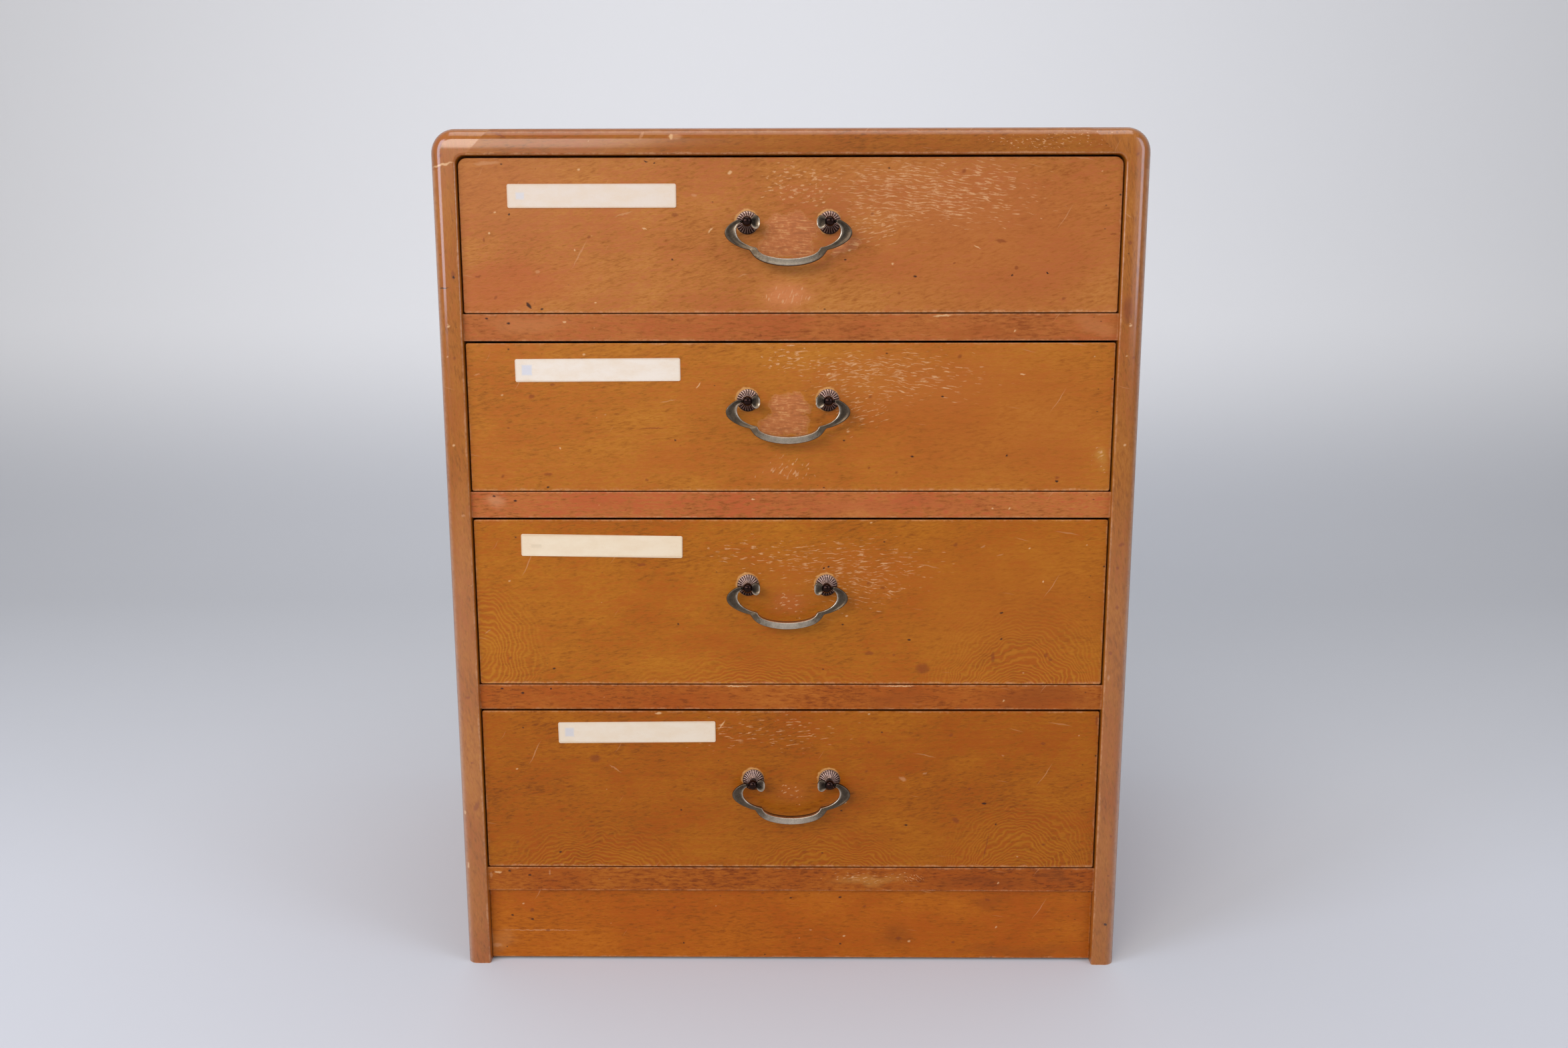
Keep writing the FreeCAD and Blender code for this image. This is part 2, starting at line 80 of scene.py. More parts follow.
def mathValue(tree, operation, *values):
    return addNode(tree, "Math", dict(enumerate(values)), operation=operation).outputs[0]


def weighed(tree, value, weight, added):
    return mathValue(tree, "MULTIPLY_ADD", value, weight, added)


def product(tree, first, second):
    return mathValue(tree, "MULTIPLY", first, second)


def rangedValue(tree, value, low, high, outLow=0.0, outHigh=1.0, **settings):
    inputs = {0: value, 1: low, 2: high, 3: outLow, 4: outHigh}
    return addNode(tree, "MapRange", inputs, **settings).outputs[0]


def easedValue(tree, value, low, high):  # the same from 0 to 1, with a soft start and end
    return rangedValue(tree, value, low, high, interpolation_type="SMOOTHSTEP")


def vectorValue(tree, operation, *values, output=0):
    return addNode(tree, "VectorMath", dict(enumerate(values)), operation=operation).outputs[output]


def objectPlace(tree):
    return addNode(tree, "TexCoord").outputs["Object"]


def mapped(tree, place, **changes):  # moved, turned and scaled
    return addNode(tree, "Mapping", {0: place, **changes}).outputs[0]


def parted(tree, vector):
    return addNode(tree, "SeparateXYZ", {0: vector}).outputs


def ramped(tree, share, stops):
    return addNode(tree, "ValToRGB", {0: share}, ramp=stops).outputs[0]


def newMaterial(name, **constants):
    material = bpy.data.materials.new(name)
    material.use_nodes = True
    shader = material.node_tree.nodes["Principled BSDF"]
    for socket, value in constants.items():
        shader.inputs[socket.replace("_", " ")].default_value = value
    return material, material.node_tree, shader


def joinShader(tree, shader, **sources):
    for socket, source in sources.items():
        tree.links.new(source, shader.inputs[socket.replace("_", " ")])


# Camera
view = {
    "place": (1.5, -760.9, 357.4),  # of the lens
    "turn": (80.854, 0.068, 0.4385),  # degrees; the camera looks 9 degrees down
    "lens": 26.294,
    "sensor": 36.0,
}
camera = bpy.data.objects.new("camera", bpy.data.cameras.new("camera"))
camera.location = Vector(view["place"]) * mm
camera.rotation_euler = [math.radians(angle) for angle in view["turn"]]
camera.data.lens = view["lens"]
camera.data.sensor_width = view["sensor"]
camera.data.clip_start = 0.01
bpy.context.scene.collection.objects.link(camera)
bpy.context.scene.camera = camera
bpy.context.scene.view_settings.view_transform = "Standard"
print("camera placed")

# Light, floor and backdrop
studio = {
    "floorColour": "#cfd0d3",
    "wallColour": "#fbfaf9",
    "wallFrom": 60,
    "wallTo": 420,
    "worldColour": "#e9ecf2",
    "worldStrength": 0.36,
    "nearAt": 4000,  # before the middle of the chest
    "wallAt": 1500,  # behind it
    "wallHeight": 2600,
    "halfWidth": 4500,
    "curve": 700,
    "curveSteps": 12,
}
# name: place, size, watts, colour, aimed at
lamps = {
    "key": ((-950, -2050, 1250), (1300, 800), 21.5, "#fff6ea", (0, 0, 180)),
    "fill": ((1500, -1500, 900), (1200, 1200), 4, "#f4f6ff", (0, 0, 230)),
    "leftWindow": ((-1150, -850, 860), (560, 950), 9, "#dbe6ff", (-170, -140, 500)),
    "rightWindow": ((1150, -800, 860), (560, 950), 4.8, "#dbe6ff", (170, -140, 500)),
    "above": ((0, -200, 1900), (1600, 1200), 12, "#f8faff", (0, 0, 300)),
}


def addLamp(name, place, size, watts, colour, aim):
    light = bpy.data.lights.new(name, "AREA")
    light.shape = "RECTANGLE"
    light.size, light.size_y = size[0] * mm, size[1] * mm
    light.energy = watts
    light.color = linearColour(colour)[:3]
    lamp = bpy.data.objects.new(name, light)
    lamp.location = Vector(place) * mm
    lamp.rotation_euler = (Vector(aim) - Vector(place)).to_track_quat("-Z", "Y").to_euler()
    lamp.visible_camera = False
    bpy.context.scene.collection.objects.link(lamp)


for name, settings in lamps.items():
    addLamp(name, *settings)

world = bpy.data.worlds.new("studioWorld")
bpy.context.scene.world = world
world.use_nodes = True
backgroundNode = world.node_tree.nodes["Background"]
backgroundNode.inputs["Color"].default_value = linearColour(studio["worldColour"])
backgroundNode.inputs["Strength"].default_value = studio["worldStrength"]


def addMesh(name, made, material, smooth=True):
    mesh = bpy.data.meshes.new(name)
    made.to_mesh(mesh)
    made.free()
    for polygon in mesh.polygons:
        polygon.use_smooth = smooth
    mesh.materials.append(material)
    piece = bpy.data.objects.new(name, mesh)
    bpy.context.scene.collection.objects.link(piece)
    return piece


def makeSweep():  # a floor that curves up into a backdrop behind the chest
    sweep = bmesh.new()
    half, far, curve = studio["halfWidth"] * mm, studio["wallAt"] * mm, studio["curve"] * mm
    line = [sweep.verts.new((-half, -studio["nearAt"] * mm, 0))]
    for step in range(studio["curveSteps"] + 1):
        turn = math.radians(90 * step / studio["curveSteps"])
        back = far - curve + curve * math.sin(turn)
        line.append(sweep.verts.new((-half, back, curve - curve * math.cos(turn))))
    line.append(sweep.verts.new((-half, far, studio["wallHeight"] * mm)))
    edges = [sweep.edges.new(pair) for pair in zip(line, line[1:])]
    made = bmesh.ops.extrude_edge_only(sweep, edges=edges)
    moved = [part for part in made["geom"] if isinstance(part, bmesh.types.BMVert)]
    bmesh.ops.translate(sweep, verts=moved, vec=(2 * half, 0, 0))
    bmesh.ops.recalc_face_normals(sweep, faces=sweep.faces)
    if sum(face.normal.z for face in sweep.faces) < 0:
        bmesh.ops.reverse_faces(sweep, faces=sweep.faces)
    material, tree, shader = newMaterial("sweepPaper", Roughness=0.8)  # matt studio paper
    height = parted(tree, objectPlace(tree))["Z"]
    risen = easedValue(tree, height, studio["wallFrom"] * mm, studio["wallTo"] * mm)
    colours = [linearColour(studio[name]) for name in ("floorColour", "wallColour")]
    mixed = addNode(tree, "Mix", {0: risen, 6: colours[0], 7: colours[1]}, data_type="RGBA").outputs[2]
    joinShader(tree, shader, Base_Color=mixed)
    addMesh("paperSweep", sweep, material)


makeSweep()
print("light and floor made")

# Wood
# Solid wood, planed, stained orange-brown and varnished, then handled for decades: fine
# streaky grain under a satin film, rubbed through to pinkish wood where hands reach.
# Coordinates are turned so that the grain runs along X, and shifted so that each board
# is cut from another part of the log. Distances are millimetres.
# Each board adds its own four colours: the darkest, middle and lightest wood, and the red.
grainTurns = {"x": (0, 0, 0), "y": (0, 0, -90), "z": (0, 90, 0)}
stainedLook = {
    "grain": "x",
    "shift": (0, 0, 0),
    "redShare": 0.65,
    "redSpan": (0.47, 0.58),
    "contrast": 1.0,
    "ringSpacing": 4.2,
    "ringContrast": 0.1,
    "ringShift": (0, 170, 30),
    "fleckTurn": 12,
    "fleckShare": 1.25,
    "streakShare": 0.15,
    "cloudShare": 0.7,
    "poreShare": 0.14,
    "roughness": 0.4,
    "bump": 0.3,
    "gloss": 0.18,
    "coat": 0,
    "coatRoughness": 0.16,
    "coatIOR": 1.5,
    "crowned": False,
}
bareLook = {
    "deep": "#957044",
    "base": "#b08a58",
    "light": "#c3a171",
    "red": "#a27748",
    "redShare": 0.4,
    "ringContrast": 0.3,
}
# How fine each noise is, in cells per metre along and across the grain
grainScales = {
    "sway": (6, 16, 16),
    "redCloud": (16, 34, 34),
    "cloud": (17, 25, 25),
    "streak": (50, 480, 480),
    "fleck": (190, 800, 800),  # a millimetre or two long
    "pore": (260, 2200, 2200),
    "fibre": (330, 1500, 1500),  # half a millimetre wide
}
swayReach = 0.01  # metres by which the grain wanders
ringStretch = (0.05, 1, 1)  # rings run on along the grain
ringRamp = ((0, 0.0), (0.5, 0.2), (0.88, 1.0), (1, 0.0))  # early wood, then a darker line
fibreShare = 0.6
toneSpread = 0.36
markColours = {"faint": "#c68d60", "pale": "#dcae7c", "brown": "#7c3a18", "dark": "#2c1a16"}
markStrengths = {"faint": 0.5, "pale": 0.75, "brown": 0.6, "dark": 0.92}


def noiseAt(tree, place, scale, detail=3.0, roughness=0.55, **settings):
    spread = mapped(tree, place, Scale=scale)
    inputs = {"Vector": spread, "Scale": 1.0, "Detail": detail, "Roughness": roughness}
    return addNode(tree, "TexNoise", inputs, **settings).outputs[0]


# The shares of a board's figure: tone, red flecks, growth rings, pores and fibres.
def grainTones(tree, look):
    turn = [math.radians(angle) for angle in grainTurns[look["grain"]]]
    shift = [part * mm for part in look["shift"]]
    place = mapped(tree, objectPlace(tree), Rotation=turn)
    place = mapped(tree, place, Location=shift)
    swayPlace = mapped(tree, place, Scale=grainScales["sway"])
    sway = addNode(tree, "TexNoise", {"Vector": swayPlace, "Scale": 1.0, "Detail": 2.0}).outputs["Color"]
    swayed = vectorValue(tree, "MULTIPLY_ADD", sway, [swayReach] * 3, place)
    # growth rings round a pith that lies behind the board
    ringShift = [part * mm for part in look["ringShift"]]
    ringPlace = mapped(tree, swayed, Location=ringShift, Scale=ringStretch)
    fromPith = vectorValue(tree, "LENGTH", ringPlace, output="Value")
    ring = product(tree, fromPith, 1 / (look["ringSpacing"] * mm))
    ring = mathValue(tree, "FRACT", ring)
    ring = ramped(tree, ring, ringRamp)
    ring = product(tree, ring, look["ringContrast"])
    # flecks, red where a broader cloud lets them
    fleckTurn = (0, math.radians(look["fleckTurn"]), 0)
    fleckPlace = mapped(tree, swayed, Rotation=fleckTurn)
    fleck = noiseAt(tree, fleckPlace, grainScales["fleck"], 4.0, 0.68)
    redCloud = noiseAt(tree, swayed, grainScales["redCloud"], 4.0, 0.6)
    red = weighed(tree, fleck, 0.62, product(tree, redCloud, 0.38))
    red = rangedValue(tree, red, *look["redSpan"], 0.0, look["redShare"])
    # the tone: clouds, streaks, fibres and flecks together
    cloud = noiseAt(tree, place, grainScales["cloud"], 4.0, 0.62)
    tone = product(tree, cloud, look["cloudShare"])
    tone = weighed(tree, noiseAt(tree, swayed, grainScales["streak"]), look["streakShare"], tone)
    fibre = noiseAt(tree, swayed, grainScales["fibre"], 3.0, 0.65)
    tone = weighed(tree, fibre, fibreShare, tone)
    tone = weighed(tree, fleck, look["fleckShare"], tone)
    middle = (fibreShare + look["cloudShare"] + look["streakShare"] + look["fleckShare"]) / 2
    spread = toneSpread / look["contrast"]
    tone = rangedValue(tree, tone, middle - spread, middle + spread)
    pore = noiseAt(tree, swayed, grainScales["pore"], 1.0)
    pore = rangedValue(tree, pore, 0.6, 0.72, 0.0, look["poreShare"])
    return {"tone": tone, "red": red, "ring": ring, "pore": pore, "fibre": fibre}


def blended(tree, share, colour, tint, strength=1.0):
    if strength != 1.0:
        share = product(tree, share, strength)
    tint = linearColour(tint) if isinstance(tint, str) else tint
    return addNode(tree, "Mix", {0: share, 6: colour, 7: tint}, data_type="RGBA").outputs[2]


def grainColour(tree, tones, look):
    stops = ((0, look["deep"]), (0.5, look["base"]), (1, look["light"]))
    colour = ramped(tree, tones["tone"], stops)
    for share, tint in (("red", "red"), ("ring", "deep"), ("pore", "deep")):
        colour = blended(tree, tones[share], colour, look[tint])
    return colour


# Wear on a flat face, in millimetres across and up from its middle. Each plane has the
# turns that lay its face flat, and the axis and the way that the face looks. Across runs
# towards the front on a side, and up runs towards the back on the top.
planes = {
    "front": ((-90, 0, 0), "Y", -1),
    "top": ((0, 0, 0), "Z", 1),
    "left": ((-90, 90, 0), "X", -1),
    "right": ((-90, 90, 0), "X", 1),
}


def facePlace(tree, middle, plane="front"):
    turn = [math.radians(angle) for angle in planes[plane][0]]
    return mapped(tree, objectPlace(tree), Location=(-middle[0], -middle[1], 0), Rotation=turn,
                  Scale=toMillimetres)


def facingMask(tree, plane):  # 1 where the surface looks the plane's way
    turn, axis, way = planes[plane]
    apart = parted(tree, addNode(tree, "TexCoord").outputs["Normal"])
    return rangedValue(tree, apart[axis], way * 0.35, way * 0.8)


def wavered(tree, place, amount, scale):  # the same places, shaken by a soft noise
    shake = addNode(tree, "TexNoise", {"Vector": place, "Scale": scale, "Detail": 3.0},
                    noise_dimensions="2D").outputs["Color"]
    centred = vectorValue(tree, "SUBTRACT", shake, (0.5, 0.5, 0.5))
    return vectorValue(tree, "MULTIPLY_ADD", centred, (amount, amount, 0), place)


def stretched(tree, place, turn, scale, middle=(0, 0, 0)):  # as a turned and stretched shape sees it
    inputs = {0: place, "Location": middle, "Rotation": (0, 0, math.radians(turn)), "Scale": scale}
    return addNode(tree, "Mapping", inputs, vector_type="TEXTURE").outputs[0]


def fromPatch(tree, place, patch):  # 0 in the middle of an ellipse, 1 on its edge
    across, up, halfWide, halfTall, turn = (*patch, 0)[:5]
    away = stretched(tree, place, turn, (halfWide, halfTall, 1e6), (across, up, 0))
    return away, vectorValue(tree, "LENGTH", away, output="Value")


def patchMask(tree, place, patch, soft):
    far = fromPatch(tree, place, patch)[1]
    return easedValue(tree, far, 1.0, 1 - soft)


def joined(tree, masks):  # the strongest of several masks at each place
    whole = None
    for mask in masks:
        whole = mask if whole is None else mathValue(tree, "MAXIMUM", whole, mask)
    return whole


# Rare short strokes, one to a cell: turn, length, width and the share of cells with one
def strokeMask(tree, place, stroke):
    turn, length, width, share = stroke
    cells = stretched(tree, place, turn, (length / 0.6, width / 0.6, 1))
    cell = addNode(tree, "TexVoronoi", {"Vector": cells, "Scale": 1.0}, voronoi_dimensions="2D")
    luck = addNode(tree, "SeparateColor", {0: cell.outputs["Color"]})
    kept = mathValue(tree, "LESS_THAN", luck.outputs[0], share)
    size = rangedValue(tree, luck.outputs[1], 0.0, 1.0, 0.12, 0.34)
    inside = mathValue(tree, "SUBTRACT", size, cell.outputs["Distance"])
    return product(tree, rangedValue(tree, inside, 0.0, 0.2), kept)


# Crowded scuffs inside a patch: its ellipse, then the turn, length, width and density of
# the strokes.
def scuffMask(tree, place, where, scuff):
    turn, length, width, density = scuff
    strokes = stretched(tree, place, turn, (length, width, 1))
    inputs = {"Vector": strokes, "Scale": 0.7, "Detail": 0.8, "Roughness": 0.5}
    strokes = addNode(tree, "TexNoise", inputs, noise_dimensions="2D").outputs[0]
    scuffed = rangedValue(tree, weighed(tree, where, 0.27 * density, strokes), 0.86, 0.93)
    within = rangedValue(tree, where, 0.02, 0.25)
    return product(tree, scuffed, within)


# Growth rings that surface as nested arches: an ellipse and the number of its rings.
def ringFigure(tree, place, figure, seed):
    away, far = fromPatch(tree, place, figure)
    wobble = addNode(tree, "TexNoise", {"Vector": away, "Scale": 1.5, "Detail": 2.0, "W": seed},
                     noise_dimensions="4D").outputs[0]
    far = weighed(tree, wobble, 0.15, far)
    wave = product(tree, far, figure[5] * 2 * math.pi)
    wave = mathValue(tree, "SINE", wave)
    near = easedValue(tree, far, 1.15, 0.5)
    calm = rangedValue(tree, far, 0.15, 0.4, 0.35)
    near = product(tree, near, calm)
    line = rangedValue(tree, wave, 0.0, 1.0)
    gap = rangedValue(tree, wave, 0.0, -1.0)
    return [product(tree, part, near) for part in (line, gap)]


def edgeMask(tree, place, half, reach):  # rises towards the four edges of a face
    beyond = []
    for socket, extent in zip(parted(tree, place), half):
        away = mathValue(tree, "ABSOLUTE", socket)
        beyond.append(mathValue(tree, "SUBTRACT", away, extent))
    beyond = joined(tree, beyond)
    inner = easedValue(tree, beyond, -reach, 0.0)
    outer = rangedValue(tree, beyond, reach + 1, 0.5)
    return product(tree, inner, outer)


# The tints of wear, and how much each covers; the last tint is painted shade for the faces that turn
# into the gaps
wearTints = {
    "figureGap": 0.42,
    "figureLine": 0.5,
    "haze": 0.45,
    "rub": 0.78,
    "rubBorder": ("#cf9562", 0.22),
    "halo": ("#dca564", 0.75),
    "scuff": ("#d3a071", 1.0),
    "edge": "#c98f5c",
    "arris": "#d9a276",
    "grimeAndShade": "#431a09",
}
rubRamp = ((0.34, "#8f3f19"), (0.46, "#ac5226"), (0.58, "#ba6433"), (0.70, "#d69c64"))

# What has happened to one face. Patches are (across, up, half width, half height, turn), and
# a turn of 0 may be left out. Figures add a count of rings, hazes may add a colour, scuffs
# have their strokes after the first four, and marks are grouped by kind.
plainWear = {
    "plane": "front",
    "figures": (),
    "hazes": (),
    "hazeColour": "#b8754a",
    "rubs": (),
    "halos": (),
    "scuffs": (),
    "marks": {},
    "speckShare": 0.006,
    "scratchShare": 0.006,
    "edgeShare": 0.55,
    "edgeReach": 2.2,
    "paintedGapShade": 0,
    "arrisShare": 0.34,
}


# Specks and fine scratches anywhere: kind, turn, length, width, and how many
strewnStrokes = (
    ("dark", 0, 2.2, 1.4, "speckShare", 1),
    ("brown", 40, 3.0, 2.2, "speckShare", 1),
    ("pale", 10, 2.2, 1.5, "speckShare", 0.5),
    ("faint", -12, 14, 0.8, "scratchShare", 1),
    ("faint", 60, 16, 0.8, "scratchShare", 1),
)
# How far each wavering moves the places on a face, and how fine it is
wavers = {"shaken": (1.4, 0.45), "barely": (2.4, 0.09), "loose": (16, 0.045)}


def wornColour(tree, colour, look, wear):
    unworn = colour
    facing = facingMask(tree, wear["plane"])
    place = facePlace(tree, wear["middle"], wear["plane"])
    shaken, barely, loose = (wavered(tree, place, *wavers[name]) for name in wavers)
    rough = addNode(tree, "TexNoise", {"Vector": place, "Scale": 0.4, "Detail": 4.0, "Roughness": 0.7},
                    noise_dimensions="2D").outputs[0]
    worn = edgeMask(tree, shaken, wear["half"], wear["edgeReach"])
    broken = rangedValue(tree, rough, 0.48, 0.66)
    worn = product(tree, worn, broken)
    for seed, figure in enumerate(wear["figures"]):
        line, gap = ringFigure(tree, loose, figure, seed * 3.7)
        colour = blended(tree, gap, colour, look["red"], wearTints["figureGap"])
        colour = blended(tree, line, colour, look["light"], wearTints["figureLine"])
    for patch in wear["hazes"]:
        tint = patch[5] if len(patch) > 5 else wear["hazeColour"]
        colour = blended(tree, patchMask(tree, loose, patch, 0.8), colour, tint, wearTints["haze"])
    # rubbed through to pinkish wood, with the grain standing out as pale and red lines
    if wear["rubs"]:
        patches = joined(tree, (patchMask(tree, loose, patch, 0.5) for patch in wear["rubs"]))
        reach = weighed(tree, rough, 1.4, patches)
        mask = rangedValue(tree, reach, 1.0, 1.5)
        lines = noiseAt(tree, barely, (0.1, 1.9, 1), 3.0, 0.65, noise_dimensions="2D")
        blotches = noiseAt(tree, shaken, (0.3, 0.4, 1), 3.0, 0.6, noise_dimensions="2D")
        lines = weighed(tree, blotches, 0.6, mathValue(tree, "SUBTRACT", lines, 0.3))
        rubbed = ramped(tree, lines, rubRamp)
        colour = blended(tree, mask, colour, rubbed, wearTints["rub"])
        border = mathValue(tree, "COMPARE", reach, 1.05, 0.14)
        within = rangedValue(tree, patches, 0.05, 0.4)
        border = product(tree, border, within)
        colour = blended(tree, border, colour, *wearTints["rubBorder"])
        worn = joined(tree, (worn, mask))
    for patch in wear["halos"]:
        colour = blended(tree, patchMask(tree, shaken, patch, 0.15), colour, *wearTints["halo"])
    if wear["scuffs"]:
        masks = []
        for scuff in wear["scuffs"]:
            where = patchMask(tree, loose, scuff[:4], 0.8)
            masks.append(scuffMask(tree, barely, where, scuff[4:]))
        mask = joined(tree, masks)
        fading = rangedValue(tree, rough, 0.35, 0.6, 0.15, 0.75)
        mask = product(tree, mask, fading)
        colour = blended(tree, mask, colour, *wearTints["scuff"])
        worn = joined(tree, (worn, mask))
    for kind, turn, length, width, share, times in strewnStrokes:
        mask = strokeMask(tree, barely, (turn, length, width, wear[share] * times))
        colour = blended(tree, mask, colour, markColours[kind], markStrengths[kind])
    for kind, tint in markColours.items():
        if kind in wear["marks"]:
            mask = joined(tree, (patchMask(tree, shaken, mark, 0.6) for mark in wear["marks"][kind]))
            colour = blended(tree, mask, colour, tint, markStrengths[kind])
    colour = blended(tree, worn, colour, wearTints["edge"], wear["edgeShare"] * 0.5)
    arris = edgeMask(tree, barely, wear["half"], 1.0)
    kept = rangedValue(tree, rough, 0.36, 0.56, 0.25, 1.0)
    arris = product(tree, arris, kept)
    colour = blended(tree, arris, colour, wearTints["arris"], wear["arrisShare"])
    worn = product(tree, worn, facing)
    # painted shade: the faces that turn into the gaps between boards are darkened as if in shadow
    if wear["paintedGapShade"]:
        unworn = blended(tree, wear["paintedGapShade"], unworn, wearTints["grimeAndShade"])
    return blended(tree, facing, unworn, colour), worn


# The front of the case is worn a little round towards its outer edge: the height of that
# crown falls with the square of the distance outside its flat middle.
crown = {"acrossFrom": 176, "upFrom": 455, "radius": 34}


def crownNormal(tree):
    apart = parted(tree, objectPlace(tree))
    across = mathValue(tree, "ABSOLUTE", apart[0])
    beyond = []
    for away, start in ((across, crown["acrossFrom"]), (apart[2], crown["upFrom"])):
        past = mathValue(tree, "SUBTRACT", away, start * mm)
        past = mathValue(tree, "MAXIMUM", past, 0.0)
        beyond.append(product(tree, past, past))
    squares = mathValue(tree, "ADD", beyond[0], beyond[1])
    fallen = product(tree, squares, -0.5 / (crown["radius"] * mm))
    return addNode(tree, "Bump", {"Strength": 1.0, "Distance": 1.0, "Height": fallen}).outputs[0]


# Wears are what has happened to the board's faces. A board is bare wood beyond every one of
# its inside planes, each an axis, a place on it and the way that leads inwards.
def woodMaterial(name, wears=(), inside=(), **changes):
    look = {**stainedLook, **changes}
    material, tree, shader = newMaterial(
        name, Specular_IOR_Level=look["gloss"], Coat_Weight=look["coat"],
        Coat_Roughness=look["coatRoughness"], Coat_IOR=look["coatIOR"])
    tones = grainTones(tree, look)
    colour = grainColour(tree, tones, look)
    smooth = look["roughness"]
    rough = rangedValue(tree, tones["fibre"], 0.3, 0.7, smooth - 0.04, smooth + 0.06)
    for wear in wears:
        colour, worn = wornColour(tree, colour, look, {**plainWear, **wear})
        rough = weighed(tree, worn, 0.22, rough)
    if inside:
        apart = parted(tree, objectPlace(tree))
        depth = None
        for axis, start, way in inside:
            one = weighed(tree, apart[axis], way, -start * way * mm)
            depth = one if depth is None else mathValue(tree, "MINIMUM", depth, one)
        bled = weighed(tree, tones["fibre"], 0.004, depth)
        share = rangedValue(tree, bled, 0.0005, 0.0035)
        colour = blended(tree, share, colour, grainColour(tree, tones, {**look, **bareLook}))
        rough = weighed(tree, share, 0.25, rough)
    height = weighed(tree, tones["pore"], -3.0, tones["fibre"])
    bump = addNode(tree, "Bump", {"Strength": look["bump"], "Distance": 0.0002, "Height": height})
    if look["crowned"]:
        crowned = crownNormal(tree)
        tree.links.new(crowned, bump.inputs["Normal"])
        joinShader(tree, shader, Coat_Normal=crowned)
    joinShader(tree, shader, Base_Color=colour, Roughness=rough, Normal=bump.outputs[0])
    return material
